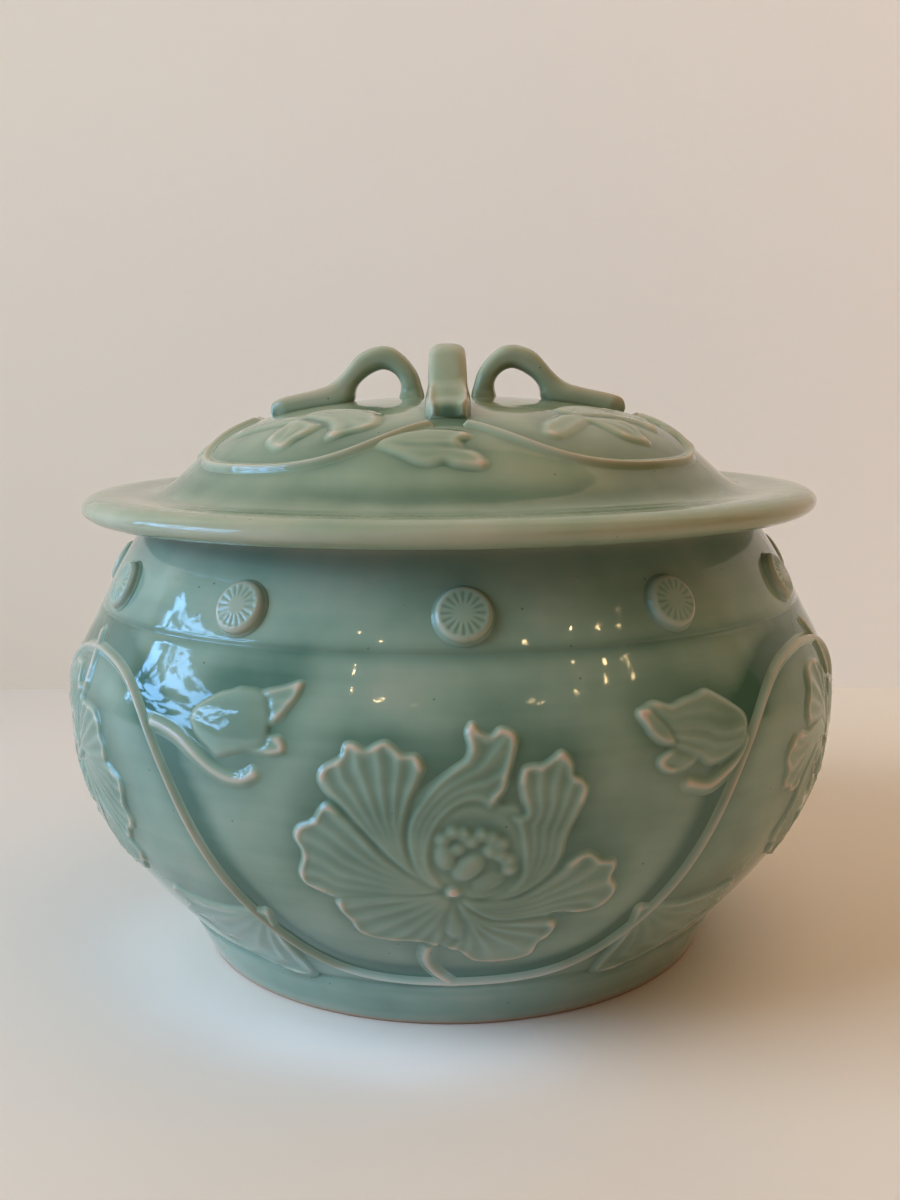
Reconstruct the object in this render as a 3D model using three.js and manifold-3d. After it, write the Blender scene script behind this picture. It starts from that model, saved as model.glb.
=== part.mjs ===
// A squat, wide-mouthed porcelain jar under a broad-brimmed lid with four strap loops.
// Lengths are in millimetres and angles in degrees. Azimuth 0 is the front, -Y, and it grows towards +X.
// The origin is the centre of the foot's underside, and the jar's axis is +Z.
import * as THREE from "three";
import { mergeVertices } from "three/addons/utils/BufferGeometryUtils.js";
import Module from "manifold-3d";

const wasm = await Module();
wasm.setup();

// The jar: foot, bowl, shoulder and mouth.
const turnSegments = 36;
const footRadius = 78;
const footChamfer = 1;
const footRingWidth = 8;
const footRecess = 3.5;
const footBandHeight = 13.4;
const footBandRadius = 84;
const grooveWidth = 1.6;
const grooveDepth = 0.6;
const bellyRadius = 115;
const bellyHeight = 78;
const bowlSlope = 49.5;
const bowlFullness = 30;
const bellyRoundBelow = 28;
const bellyRoundAbove = 13;
const shoulderHeight = 106.6;
const shoulderInset = 9.4;
const shoulderRadius = bellyRadius - shoulderInset;
const shoulderSlope = 63.4;
const shoulderFullness = 10;
const neckFullness = 1.2;
const mouthRadius = 92;
const jarHeight = 131;
const wall = 6.5;
const rimRound = 1.5;
const floorThickness = 6;
const floorRadius = 66;
const bowlCorner = 12;

// The lid: dome, brim and locating ring.
const jointGap = 0.3;
const brimRadius = 109.6;
const brimThickness = 7.3;
const brimRound = 6;
const domeFootRadius = 86;
const domeFootRise = 0.8;
const domeShoulderRadius = 64;
const domeRise = 26.9;
const domeCrownRise = 9.2;
const domeCrownReach = 30;
const domeFootSlope = 0.545;
const domeShoulderSlope = 0.46;
const brimCrownReach = 5.6;
const brimCrownRise = 0.6;
const moatReach = 5.5;
const flankFootReach = 6;
const flankTopReach = 10;
const crownStartReach = 12;
const lidWall = 5.5;
const ringThickness = 5;
const ringDepth = 10;
const ringClearance = 1.6;

// The strap loops on the dome.
const loopCount = 4;
const strapWidth = 11;
const strapThickness = 7.4;
const strapChamfer = 1.6;
const loopInnerRadius = 10.5;
const loopTopRadius = 19.7;
const loopOuterRadius = 31.3;
const loopRise = 11.6;
const loopInnerFullness = 0.58;
const loopOuterFullness = 0.44;
const limbLean = 0.15;
const strapSink = 3;
const archRows = 4;
const tailWidth = 12.4;
const kneeHeight = 8.2;
const kneeReach = 6.8;
const tailStartHeight = 5.5;
const tailEndHeight = 4.2;
const tailEndRadius = 53.6;
const tailBevel = 0.8;

// The relief: how far it stands off the wall, and the vines' widths.
const reliefHeight = 1.5;
const vineWidth = 2.6;
const vineHeight = 1.5;
const lobeTaper = 0.3;
const petalSteps = 42;
const leafSteps = 20;

// The jar's vine is a wave of flat troughs and crests with steep stems between them.
const vineWaves = 3;
const vineAboveGroove = 1.8;
const vineTroughHeight = footBandHeight + grooveWidth + vineAboveGroove;
const vineBelowShoulder = 7;
const vineCrestHeight = shoulderHeight - vineBelowShoulder;
const vineTurn = 34;
const vineSoftness = 10.2;
const vineSteps = 108;

// Rosettes stand round the shoulder, set by eye. The front five have their places and the rest share what is left.
const rosetteCount = 12;
const rosetteFrontAzimuths = [-61.7, -30.5, 1.8, 32.6, 64];
const rosetteUpNeck = 0.355;
const rosetteHeight = shoulderHeight + rosetteUpNeck * (jarHeight - shoulderHeight);
const rosetteRadius = 7.2;
const rosetteRise = 3.2;
const rosetteEdge = 1.9;
const rosetteCrown = 0.6;

// Peony petals, as directions seen from the eye of the flower. How far each comes is a share of the longest.
const peonyPetals = [
  { toward: 216, spread: 34, share: 0.66 },
  { toward: 163, spread: 23, share: 0.905 },
  { toward: 119, spread: 19, share: 0.953 },
  { toward: 81, spread: 14, share: 1 },
  { toward: 48, spread: 17, share: 1 },
  { toward: 357, spread: 20, share: 0.94 },
  { toward: 303, spread: 35, share: 0.765 },
];
const peonyReach = 42.5;
const peonyCore = 19;
const stemWidth = 2.6;
const peonyStemLean = 5;
const peonyAboveTrough = 34.2;
const troughPeonyHeight = vineTroughHeight + peonyAboveTrough;
const peonyBelowCrest = 30.6;
const crestPeonyHeight = vineCrestHeight - peonyBelowCrest;
const crestPeonyScale = 0.84;
const crestPeonyAzimuths = [-64, 66, 180];

// Buds above the vine's slopes and leaves below them.
const budLobes = [
  { toward: 25, spread: 26, share: 1 },
  { toward: 100, spread: 55, share: 0.59 },
  { toward: 190, spread: 50, share: 0.82 },
  { toward: 335, spread: 30, share: 0.76 },
];
const budReach = 17;
const budCore = 8;
const budTurn = 27;
const budBelowCrest = 9.6;
const budHeight = vineCrestHeight - budBelowCrest;
const budStemDrop = 16;
const leafLobes = [
  { toward: 245, spread: 34, share: 1 },
  { toward: 205, spread: 26, share: 0.62 },
  { toward: 40, spread: 22, share: 0.71 },
];
const leafReach = 21;
const leafCore = 5.5;
const leafTurn = 38;
const leafAboveTrough = 13.2;
const leafHeight = vineTroughHeight + leafAboveTrough;

// The lid's vine stems, sprays and leaves.
const lidVineCrestRadius = 57.6;
const lidVineTroughRadius = 76.6;
const lidVineStart = 3.6;
const lidVineSpreads = [15.5, 11, 15.5, 11];
const lidVinePower = 1.6;
const lidVineSteps = 18;
const sprayLobes = [
  { toward: 2, spread: 24, share: 1 },
  { toward: 262, spread: 34, share: 0.5 },
  { toward: 190, spread: 22, share: 1 },
];
const sprayReach = 22;
const sprayCore = 5;
const sprayRadius = 59.5;
const lidLeafLobes = [
  { toward: 10, spread: 24, share: 1 },
  { toward: 340, spread: 20, share: 0.83 },
  { toward: 172, spread: 14, share: 0.93 },
];
const lidLeafReach = 15;
const lidLeafCore = 4.4;
const lidLeafRadius = 70;

const glaze = { color: "#8fa796", roughness: 0.12, metalness: 0 };
const reliefGlaze = { color: "#9fb3a3", roughness: 0.12, metalness: 0 };
const lidGlaze = { color: "#9aa68e", roughness: 0.12, metalness: 0 };

const rad = THREE.MathUtils.degToRad;
const at = (r, z) => new THREE.Vector2(r, z);
const heading = (angle) => at(Math.cos(rad(angle)), Math.sin(rad(angle)));

// Manifold solids from three.js geometry, and back.
function solidOf(geometry) {
  const bare = geometry.clone();
  bare.deleteAttribute("normal");
  bare.deleteAttribute("uv");
  const merged = mergeVertices(bare, 1e-4);
  const triVerts = [];
  for (let i = 0; i < merged.index.count; i += 3) {
    const [a, b, c] = [0, 1, 2].map((k) => merged.index.getX(i + k));
    if (a !== b && b !== c && c !== a) triVerts.push(a, b, c);
  }
  const vertProperties = merged.attributes.position.array;
  return new wasm.Manifold(
    new wasm.Mesh({ numProp: 3, vertProperties, triVerts: new Uint32Array(triVerts) }),
  );
}

function geometryOf(solid) {
  const { vertProperties, triVerts } = solid.getMesh();
  const geometry = new THREE.BufferGeometry();
  geometry.setAttribute("position", new THREE.BufferAttribute(vertProperties, 3));
  geometry.setIndex(new THREE.BufferAttribute(triVerts, 1));
  return geometry;
}

// A closed surface of points, given as rows of corner indices.
function meshOf(points, triangles) {
  const geometry = new THREE.BufferGeometry().setFromPoints(points);
  geometry.setIndex(triangles);
  return geometry;
}

function lathe(outline) {
  return new THREE.LatheGeometry(outline, turnSegments).rotateX(Math.PI / 2);
}

// The outline moved sideways: outwards where the distance is positive.
function offset(outline, distance) {
  return outline.map((p, i) => {
    const before = outline[Math.max(i - 1, 0)];
    const after = outline[Math.min(i + 1, outline.length - 1)];
    const along = after.clone().sub(before).normalize();
    return at(p.x + along.y * distance, p.y - along.x * distance);
  });
}

// A solid of revolution under an outline that runs upwards on the outside.
function filled(outline) {
  return solidOf(lathe([at(0, outline[0].y), ...outline, at(0, outline.at(-1).y)]));
}

// The jar's outside from the foot to the mouth, in curves that the relief is laid on.
function jarCurves() {
  const bowlStart = at(footBandRadius + grooveWidth / 2, footBandHeight + grooveWidth);
  const belly = at(bellyRadius, bellyHeight);
  const shoulder = at(shoulderRadius, shoulderHeight - grooveWidth / 2);
  const neckStart = at(shoulderRadius - grooveWidth / 2, shoulderHeight + grooveWidth / 2);
  const rise = mouthRadius - shoulderRadius;
  const neck = at(rise, jarHeight - shoulderHeight).normalize();
  const mouth = at(mouthRadius, jarHeight - rimRound);
  const neckMiddle = neckStart.clone().lerp(mouth, 0.5).add(at(neck.y, -neck.x).multiplyScalar(neckFullness));
  return {
    bowl: new THREE.CubicBezierCurve(
      bowlStart,
      bowlStart.clone().add(heading(bowlSlope).multiplyScalar(bowlFullness)),
      at(bellyRadius, bellyHeight - bellyRoundBelow),
      belly,
    ),
    shoulder: new THREE.CubicBezierCurve(
      belly,
      at(bellyRadius, bellyHeight + bellyRoundAbove),
      shoulder.clone().add(heading(-shoulderSlope).multiplyScalar(shoulderFullness)),
      shoulder,
    ),
    neck: new THREE.QuadraticBezierCurve(neckStart, neckMiddle, mouth),
  };
}

const jarCurve = jarCurves();

function jarOutside(bowlSteps, shoulderSteps, neckSteps) {
  return [
    at(footRadius - footChamfer, 0),
    at(footRadius, footChamfer),
    at(footBandRadius, footBandHeight),
    at(footBandRadius - grooveDepth + grooveWidth / 4, footBandHeight + grooveWidth / 2),
    ...jarCurve.bowl.getPoints(bowlSteps),
    ...jarCurve.shoulder.getPoints(shoulderSteps).slice(1),
    at(shoulderRadius - grooveDepth - grooveWidth / 4, shoulderHeight),
    ...jarCurve.neck.getPoints(neckSteps),
  ];
}

function jarInside(bowlSteps, shoulderSteps) {
  const outside = [
    ...jarCurve.bowl.getPoints(bowlSteps).slice(1),
    ...jarCurve.shoulder.getPoints(shoulderSteps).slice(1),
    at(mouthRadius, jarHeight - rimRound),
  ];
  const inside = offset(outside, -wall).slice(0, -1);
  const floor = footRecess + floorThickness;
  return [
    at(mouthRadius - wall, jarHeight - rimRound),
    ...inside.filter((p) => p.y > floor + bowlCorner).reverse(),
    at(floorRadius + bowlCorner, floor + bowlCorner / 2),
    at(floorRadius, floor),
    at(0, floor),
  ];
}

function jarBody() {
  const foot = [
    at(0, footRecess),
    at(footRadius - footRingWidth - footRecess / 2, footRecess),
    at(footRadius - footRingWidth, 0),
  ];
  const rim = [at(mouthRadius - rimRound, jarHeight), at(mouthRadius - wall + rimRound, jarHeight)];
  return lathe([...foot, ...jarOutside(7, 4, 3), ...rim, ...jarInside(5, 2)]);
}

// A chart lays flat outlines on a turned surface. A place on it is an azimuth and a length along the outline,
// which runs upwards on the outside. Across is towards a larger azimuth, and up is along the outline.
function chartOf(outline) {
  const lengths = [0];
  for (let i = 1; i < outline.length; i++) {
    lengths.push(lengths[i - 1] + outline[i].distanceTo(outline[i - 1]));
  }
  const facing = offset(outline, 1).map((p, i) => p.sub(outline[i]));
  const along = (length) => {
    let i = 1;
    while (i < outline.length - 1 && lengths[i] < length) i++;
    const share = (length - lengths[i - 1]) / (lengths[i] - lengths[i - 1]);
    return {
      place: outline[i - 1].clone().lerp(outline[i], share),
      outward: facing[i - 1].clone().lerp(facing[i], share).normalize(),
    };
  };
  return {
    along,
    lengthWhere: (key, value) => {
      const i = outline.findIndex((p, k) => k > 0 && (p[key] - value) * (outline[k - 1][key] - value) <= 0);
      const share = (value - outline[i - 1][key]) / (outline[i][key] - outline[i - 1][key]);
      return lengths[i - 1] + share * (lengths[i] - lengths[i - 1]);
    },
    point: (azimuth, length, off) => {
      const { place, outward } = along(length);
      const r = place.x + outward.x * off;
      return new THREE.Vector3(r * Math.sin(azimuth), -r * Math.cos(azimuth), place.y + outward.y * off);
    },
  };
}

// An outline of lobes about a centre, as corners that run anticlockwise.
function lobed(lobes, longest, core, steps, { scale = 1, turn = 0, mirror = false } = {}) {
  return Array.from({ length: steps }, (_, i) => {
    const angle = (360 * i) / steps;
    let reach = core;
    for (const lobe of lobes) {
      const toward = mirror ? 180 - lobe.toward : lobe.toward;
      const away = THREE.MathUtils.euclideanModulo(angle - turn - toward + 180, 360) - 180;
      const aside = Math.abs(away) / lobe.spread;
      if (aside < 1) reach = Math.max(reach, longest * lobe.share * (1 - lobeTaper * aside ** 3));
    }
    return at(reach * Math.cos(rad(angle)), reach * Math.sin(rad(angle))).multiplyScalar(scale);
  });
}

// A band of the given width round a row of points.
function band(path, width) {
  const sides = [1, -1].map((side) => offset(path, (side * width) / 2));
  return [...sides[0], ...sides[1].reverse()];
}

// The outline pushed through the turned surface, from well below it to well above it.
function prism(outline, chart, azimuth, length) {
  const through = 12;
  const corner = (p, off) => {
    const here = length + p.y;
    return chart.point(rad(azimuth) + p.x / chart.along(here).place.x, here, off);
  };
  const count = outline.length;
  const points = [...outline.map((p) => corner(p, -through)), ...outline.map((p) => corner(p, through))];
  const caps = THREE.ShapeUtils.triangulateShape(outline, []);
  const triangles = caps.flatMap(([a, b, c]) => [c, b, a, a + count, b + count, c + count]);
  for (let i = 0; i < count; i++) {
    const j = (i + 1) % count;
    triangles.push(i, j, j + count, i, j + count, i + count);
  }
  return solidOf(meshOf(points, triangles));
}

// A ridge along a path on a chart. A path that closes on itself has no ends.
function ridge(path, chart, closed, width = vineWidth, foot = jointGap, height = vineHeight) {
  const count = path.length;
  const rows = path.map((p, i) => {
    const before = path[closed ? (i + count - 1) % count : Math.max(i - 1, 0)];
    const after = path[closed ? (i + 1) % count : Math.min(i + 1, count - 1)];
    const r = chart.along(p.length).place.x;
    const turn = THREE.MathUtils.euclideanModulo(after.azimuth - before.azimuth + 180, 360) - 180;
    const across = at(after.length - before.length, -rad(turn) * r).normalize();
    const corner = (side, off) =>
      chart.point(rad(p.azimuth) + (across.x * side) / r, p.length + across.y * side, off);
    return [
      corner(-width / 2, foot),
      corner(width / 2, foot),
      corner(width / 2 - vineWidth / 4, height),
      corner(-width / 2 + vineWidth / 4, height),
    ];
  });
  return loft(rows, closed);
}

// Rings of corners joined one after another, with flat ends or closed on itself.
function loft(rows, closed) {
  const corners = rows[0].length;
  const triangles = [];
  const steps = closed ? rows.length : rows.length - 1;
  for (let i = 0; i < steps; i++) {
    const a = i * corners;
    const b = ((i + 1) % rows.length) * corners;
    for (let k = 0; k < corners; k++) {
      const m = (k + 1) % corners;
      triangles.push(a + k, b + m, a + m, a + k, b + k, b + m);
    }
  }
  const last = (rows.length - 1) * corners;
  for (let k = 1; !closed && k < corners - 1; k++) {
    triangles.push(0, k, k + 1, last, last + k + 1, last + k);
  }
  return meshOf(rows.flat(), triangles);
}

const root = new THREE.Group();

function add(name, geometry, look) {
  const mesh = new THREE.Mesh(geometry, new THREE.MeshStandardMaterial(look));
  mesh.name = name;
  root.add(mesh);
  return mesh;
}

// The jar and what stands on it.
add("jar_body", jarBody(), glaze);

const jarChart = chartOf([
  ...jarCurve.bowl.getPoints(60),
  ...jarCurve.shoulder.getPoints(40).slice(1),
  ...jarCurve.neck.getPoints(24),
]);
const jarLength = (height) => jarChart.lengthWhere("y", height);
const jarSkin = jarOutside(7, 4, 3);
const jarCut = filled(offset(jarSkin, jointGap));
const jarReliefSpace = filled(offset(jarSkin, reliefHeight)).subtract(jarCut);

function rosette() {
  const outline = [
    at(0, -wall),
    at(rosetteRadius, -wall),
    at(rosetteRadius, rosetteRise - rosetteEdge),
    at(rosetteRadius * rosetteCrown, rosetteRise),
    at(0, rosetteRise),
  ];
  const button = new THREE.LatheGeometry(outline, 16).rotateX(Math.PI / 2);
  const { place, outward } = jarChart.along(jarLength(rosetteHeight));
  const out = new THREE.Vector3(0, -outward.x, outward.y);
  button.applyQuaternion(new THREE.Quaternion().setFromUnitVectors(new THREE.Vector3(0, 0, 1), out));
  button.translate(0, -place.x, place.y);
  return button;
}

function rosetteAzimuths() {
  const first = rosetteFrontAzimuths[0];
  const last = rosetteFrontAzimuths[rosetteFrontAzimuths.length - 1];
  const others = rosetteCount - rosetteFrontAzimuths.length;
  const pitch = (360 - (last - first)) / (others + 1);
  const rest = Array.from({ length: others }, (_, i) => last + pitch * (i + 1));
  return [...rosetteFrontAzimuths.slice(2), ...rest, ...rosetteFrontAzimuths.slice(0, 2)];
}

for (const [i, azimuth] of rosetteAzimuths().entries()) {
  const turned = rosette().rotateZ(rad(azimuth));
  const name = "rosette_" + String(i + 1).padStart(2, "0");
  add(name, geometryOf(solidOf(turned).subtract(jarCut)), reliefGlaze);
}

// The vine's height over the foot at an azimuth.
function vineHeightAt(azimuth) {
  const wave = 360 / vineWaves;
  const fromTrough = Math.abs(THREE.MathUtils.euclideanModulo(azimuth + wave / 2, wave) - wave / 2);
  const middle = (vineCrestHeight + vineTroughHeight) / 2;
  const swing = (vineCrestHeight - vineTroughHeight) / 2;
  return middle + swing * Math.tanh((fromTrough - vineTurn) / vineSoftness);
}

const vinePath = Array.from({ length: vineSteps }, (_, i) => {
  const azimuth = (360 * i) / vineSteps;
  return { azimuth, length: jarLength(vineHeightAt(azimuth)) };
});
add("vine", ridge(vinePath, jarChart, true), reliefGlaze);

// Anything laid beside the vine is trimmed clear of it.
const clearWidth = vineWidth + 4 * jointGap;
const vineClear = solidOf(ridge(vinePath, jarChart, true, clearWidth, -wall, wall));

function jarRelief(outlines, azimuth, length) {
  const parts = outlines.map((outline) => prism(outline, jarChart, azimuth, length));
  const whole = parts.reduce((sum, part) => sum.add(part));
  return geometryOf(whole.intersect(jarReliefSpace).subtract(vineClear));
}

// A flower's stem runs from under its eye to the edge of the vine.
function peony(azimuth, height, scale, turn) {
  const length = jarLength(height);
  const petals = lobed(peonyPetals, peonyReach, peonyCore, petalSteps, { scale, turn });
  const reach = Math.abs(jarLength(vineHeightAt(azimuth)) - length);
  const side = turn ? -1 : 1;
  const core = peonyCore * scale;
  const lean = peonyStemLean * scale;
  const stem = [at(0, 0), at(-lean, -core), at(-lean, -(core + reach) / 2), at(-lean / 2, -reach)];
  const path = stem.map((p) => p.multiplyScalar(side));
  return jarRelief([petals, band(path, stemWidth)], azimuth, length);
}

const waveNames = ["front", "right", "left"];
waveNames.forEach((name, i) => {
  add("peony_" + name, peony((360 * i) / vineWaves, troughPeonyHeight, 1, 0), reliefGlaze);
});
crestPeonyAzimuths.forEach((azimuth, i) => {
  const flower = peony(azimuth, crestPeonyHeight, crestPeonyScale, 180);
  add("hanging_peony_" + (i + 1), flower, reliefGlaze);
});

// A bud's stem leaves the slope of the vine, dips under the bud and comes up into it.
function bud(trough, side) {
  const shape = lobed(budLobes, budReach, budCore, leafSteps, { mirror: side > 0 });
  const length = jarLength(budHeight);
  const middle = (vineCrestHeight + vineTroughHeight) / 2;
  const swing = (vineCrestHeight - vineTroughHeight) / 2;
  const { place } = jarChart.along(length - budStemDrop / 2);
  const vineTurnThere = vineTurn + vineSoftness * Math.atanh((place.y - middle) / swing);
  const away = rad(vineTurnThere - budTurn) * place.x;
  const stem = [
    at(side * away, -budStemDrop / 2),
    at(side * away * 0.5, -budStemDrop),
    at(-side * budCore * 0.5, -budStemDrop * 0.9),
    at(-side * budCore * 0.5, 0),
  ];
  return jarRelief([shape, band(stem, stemWidth)], trough + side * budTurn, length);
}

for (let i = 0; i < vineWaves; i++) {
  for (const side of [-1, 1]) {
    const trough = (360 * i) / vineWaves;
    const name = waveNames[i] + (side < 0 ? "_left_side" : "_right_side");
    add("bud_" + name, bud(trough, side), reliefGlaze);
    const leaf = lobed(leafLobes, leafReach, leafCore, leafSteps, { mirror: side > 0 });
    add("leaf_" + name, jarRelief([leaf], trough + side * leafTurn, jarLength(leafHeight)), reliefGlaze);
  }
}

// The lid's outside, from the underside of the brim round its nose and over the dome to the apex.
const lidUnderside = jarHeight + jointGap;
const brimTop = lidUnderside + brimThickness;
const brimMiddle = (brimTop + lidUnderside) / 2;
const brimEdge = brimRadius - brimRound;
const domeFoot = at(domeFootRadius, brimTop + domeFootRise);
const apex = brimTop + domeRise;
const domeShoulder = at(domeShoulderRadius, apex - domeCrownRise);
const lidCurve = {
  nose: new THREE.EllipseCurve(brimEdge, brimMiddle, brimRound, brimThickness / 2, -Math.PI / 2, Math.PI / 2),
  moat: new THREE.CubicBezierCurve(
    at(brimEdge, brimTop),
    at(brimEdge - brimCrownReach, brimTop + brimCrownRise),
    at(domeFootRadius + moatReach, domeFoot.y - moatReach * domeFootSlope),
    domeFoot,
  ),
  flank: new THREE.CubicBezierCurve(
    domeFoot,
    at(domeFootRadius - flankFootReach, domeFoot.y + flankFootReach * domeFootSlope),
    at(domeShoulderRadius + flankTopReach, domeShoulder.y - flankTopReach * domeShoulderSlope),
    domeShoulder,
  ),
  crown: new THREE.CubicBezierCurve(
    domeShoulder,
    at(domeShoulderRadius - crownStartReach, domeShoulder.y + crownStartReach * domeShoulderSlope),
    at(domeCrownReach, apex),
    at(0, apex),
  ),
};

function lidOutside(noseSteps, moatSteps, flankSteps, crownSteps) {
  return [
    ...lidCurve.nose.getPoints(noseSteps),
    ...lidCurve.moat.getPoints(moatSteps).slice(1),
    ...lidCurve.flank.getPoints(flankSteps).slice(1),
    ...lidCurve.crown.getPoints(crownSteps).slice(1),
  ];
}

const ringOuterRadius = mouthRadius - wall - ringClearance;
const ringInnerRadius = ringOuterRadius - ringThickness;
const lidSkin = lidOutside(6, 4, 5, 5);

function lidShell() {
  const mouthOfHollow = at(ringInnerRadius - ringThickness / 4, lidUnderside);
  const hollow = offset(lidSkin, -lidWall)
    .filter((p) => p.x < mouthOfHollow.x - 1 && p.y > lidUnderside + lidWall)
    .slice(0, -1)
    .reverse();
  return lathe([at(0, apex - lidWall), ...hollow, mouthOfHollow, ...lidSkin]);
}

function locatingRing() {
  const top = lidUnderside - jointGap;
  const bottom = top - ringDepth;
  const edge = at(ringInnerRadius, bottom);
  return lathe([
    edge,
    at(ringOuterRadius - ringThickness / 4, bottom),
    at(ringOuterRadius, bottom + ringThickness / 4),
    at(ringOuterRadius, top),
    at(ringInnerRadius, top),
    edge,
  ]);
}

add("lid_shell", lidShell(), lidGlaze);
add("lid_locating_ring", locatingRing(), lidGlaze);

const lidChart = chartOf(lidOutside(12, 20, 40, 40));
const lidLength = (radius) => lidChart.lengthWhere("x", radius);
const lidHeightAt = (radius) => lidChart.along(lidLength(radius)).place.y;
const lidCut = filled(offset(lidSkin, jointGap));
const lidReliefSpace = filled(offset(lidSkin, reliefHeight)).subtract(lidCut);

// A strap stands on the dome near the apex, arches over and comes down again on the dome.
function archPath() {
  const top = at(loopTopRadius, apex + loopRise);
  const inner = at(loopInnerRadius, lidHeightAt(loopInnerRadius));
  const outer = at(loopOuterRadius, lidHeightAt(loopOuterRadius));
  const innerReach = top.x - inner.x;
  const outerReach = outer.x - top.x;
  const rising = new THREE.CubicBezierCurve(
    inner,
    at(inner.x, inner.y + (top.y - inner.y) * loopInnerFullness),
    at(top.x - innerReach * loopInnerFullness, top.y),
    top,
  ).getPoints(archRows);
  const falling = new THREE.CubicBezierCurve(
    top,
    at(top.x + outerReach * loopOuterFullness, top.y),
    at(outer.x - outerReach * limbLean, outer.y + (top.y - outer.y) * loopOuterFullness),
    outer,
  ).getPoints(archRows);
  const sunk = (p) => at(p.x, p.y - strapSink);
  return [sunk(inner), ...rising, ...falling.slice(1), sunk(outer)];
}

function strapSection(middle, over, width, thickness) {
  const [w, t, c] = [width / 2, thickness / 2, strapChamfer];
  const corners = [
    at(-w, -t + c),
    at(-w + c, -t),
    at(w - c, -t),
    at(w, -t + c),
    at(w, t - c),
    at(w - c, t),
    at(-w + c, t),
    at(-w, t - c),
  ];
  return corners.map((q) => new THREE.Vector3(-q.x, -middle.x - over.x * q.y, middle.y + over.y * q.y));
}

function strapArch() {
  const path = archPath();
  const rows = path.map((p, i) => {
    const along = path[Math.min(i + 1, path.length - 1)].clone().sub(path[Math.max(i - 1, 0)]);
    return strapSection(p, at(-along.y, along.x).normalize(), strapWidth, strapThickness);
  });
  return solidOf(loft(rows, false));
}

// The tail leaves the outer limb at the knee and runs out along the dome.
function strapTail() {
  const start = loopOuterRadius + kneeReach;
  const rows = [
    [loopOuterRadius, kneeHeight, strapWidth],
    [loopOuterRadius + kneeReach / 2, (kneeHeight + tailStartHeight) / 2 - tailBevel / 2, tailWidth],
    [start, tailStartHeight, tailWidth],
    [(start + tailEndRadius) / 2, (tailStartHeight + tailEndHeight) / 2, tailWidth],
    [tailEndRadius - tailBevel, tailEndHeight, tailWidth],
    [tailEndRadius, tailEndHeight - tailBevel, tailWidth],
  ].map(([radius, height, width]) => {
    const dome = lidHeightAt(radius);
    const middle = at(radius, dome + (height - strapSink) / 2);
    return strapSection(middle, at(0, 1), width, height + strapSink);
  });
  return solidOf(loft(rows, false));
}

function strap() {
  return strapArch().add(strapTail()).subtract(lidCut);
}

const strapShape = geometryOf(strap());
["front", "right", "back", "left"].forEach((name, i) => {
  const loop = add("loop_" + name, strapShape.clone(), lidGlaze);
  loop.rotation.z = rad((360 * i) / loopCount);
});

// A stem of the lid's vine swings from the tail of one loop down to the dome's foot and up to the next tail.
function lidStemPath(index) {
  const pitch = 360 / loopCount;
  const swing = lidVineTroughRadius - lidVineCrestRadius;
  const drop = (away, spread) => Math.exp(-(((away - lidVineStart) / spread) ** lidVinePower));
  return Array.from({ length: lidVineSteps + 1 }, (_, i) => {
    const away = lidVineStart + ((pitch - 2 * lidVineStart) * i) / lidVineSteps;
    const near = drop(away, lidVineSpreads[index]);
    const far = drop(pitch - away, lidVineSpreads[(index + 1) % loopCount]);
    return {
      azimuth: index * pitch + away,
      length: lidLength(lidVineTroughRadius - swing * (near + far)),
    };
  });
}

const lidStems = Array.from({ length: loopCount }, (_, i) => lidStemPath(i));
const lidVineClear = lidStems
  .map((path) => solidOf(ridge(path, lidChart, false, clearWidth, -lidWall, lidWall)))
  .reduce((sum, stem) => sum.add(stem));

function lidRelief(outline, azimuth, radius) {
  const shape = prism(outline, lidChart, azimuth, lidLength(radius));
  return geometryOf(shape.intersect(lidReliefSpace).subtract(lidVineClear));
}

for (let i = 0; i < loopCount; i++) {
  const azimuth = (360 * i) / loopCount;
  const between = azimuth + 180 / loopCount;
  add("lid_vine_" + (i + 1), ridge(lidStems[i], lidChart, false), reliefGlaze);
  const spray = lobed(sprayLobes, sprayReach, sprayCore, leafSteps);
  add("lid_spray_" + (i + 1), lidRelief(spray, between, sprayRadius), reliefGlaze);
  const scale = lidVineSpreads[i] / Math.max(...lidVineSpreads);
  const leaf = lobed(lidLeafLobes, lidLeafReach, lidLeafCore, leafSteps, { scale });
  add("lid_leaf_" + (i + 1), lidRelief(leaf, azimuth, lidLeafRadius), reliefGlaze);
}

export default root;
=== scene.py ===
# A squat celadon jar under a broad-brimmed lid with four strap loops, on a pale floor before a warm wall.
# Lengths in the dictionaries are millimetres and angles are degrees. Azimuth 0 is the front, -Y, and
# azimuths grow towards +X.
import math

import bmesh
import bpy
import numpy as np
from mathutils import Matrix, Vector


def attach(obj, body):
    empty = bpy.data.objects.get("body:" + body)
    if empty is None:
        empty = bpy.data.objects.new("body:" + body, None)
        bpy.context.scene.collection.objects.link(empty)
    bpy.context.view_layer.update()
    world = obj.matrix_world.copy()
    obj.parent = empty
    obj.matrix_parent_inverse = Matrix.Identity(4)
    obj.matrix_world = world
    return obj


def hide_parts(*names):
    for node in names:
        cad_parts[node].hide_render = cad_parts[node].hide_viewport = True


mm = 0.001
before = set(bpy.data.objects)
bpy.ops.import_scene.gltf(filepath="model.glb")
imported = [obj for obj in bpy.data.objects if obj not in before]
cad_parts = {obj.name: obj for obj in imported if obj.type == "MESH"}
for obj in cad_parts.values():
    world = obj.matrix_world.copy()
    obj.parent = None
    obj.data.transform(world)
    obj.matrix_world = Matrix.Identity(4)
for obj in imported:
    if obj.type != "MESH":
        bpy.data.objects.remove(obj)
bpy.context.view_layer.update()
print("frame loaded:", len(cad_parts), "nodes")


# Small helpers for curves and arrays

def point(r, z):
    return np.array([r, z], float)


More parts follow.
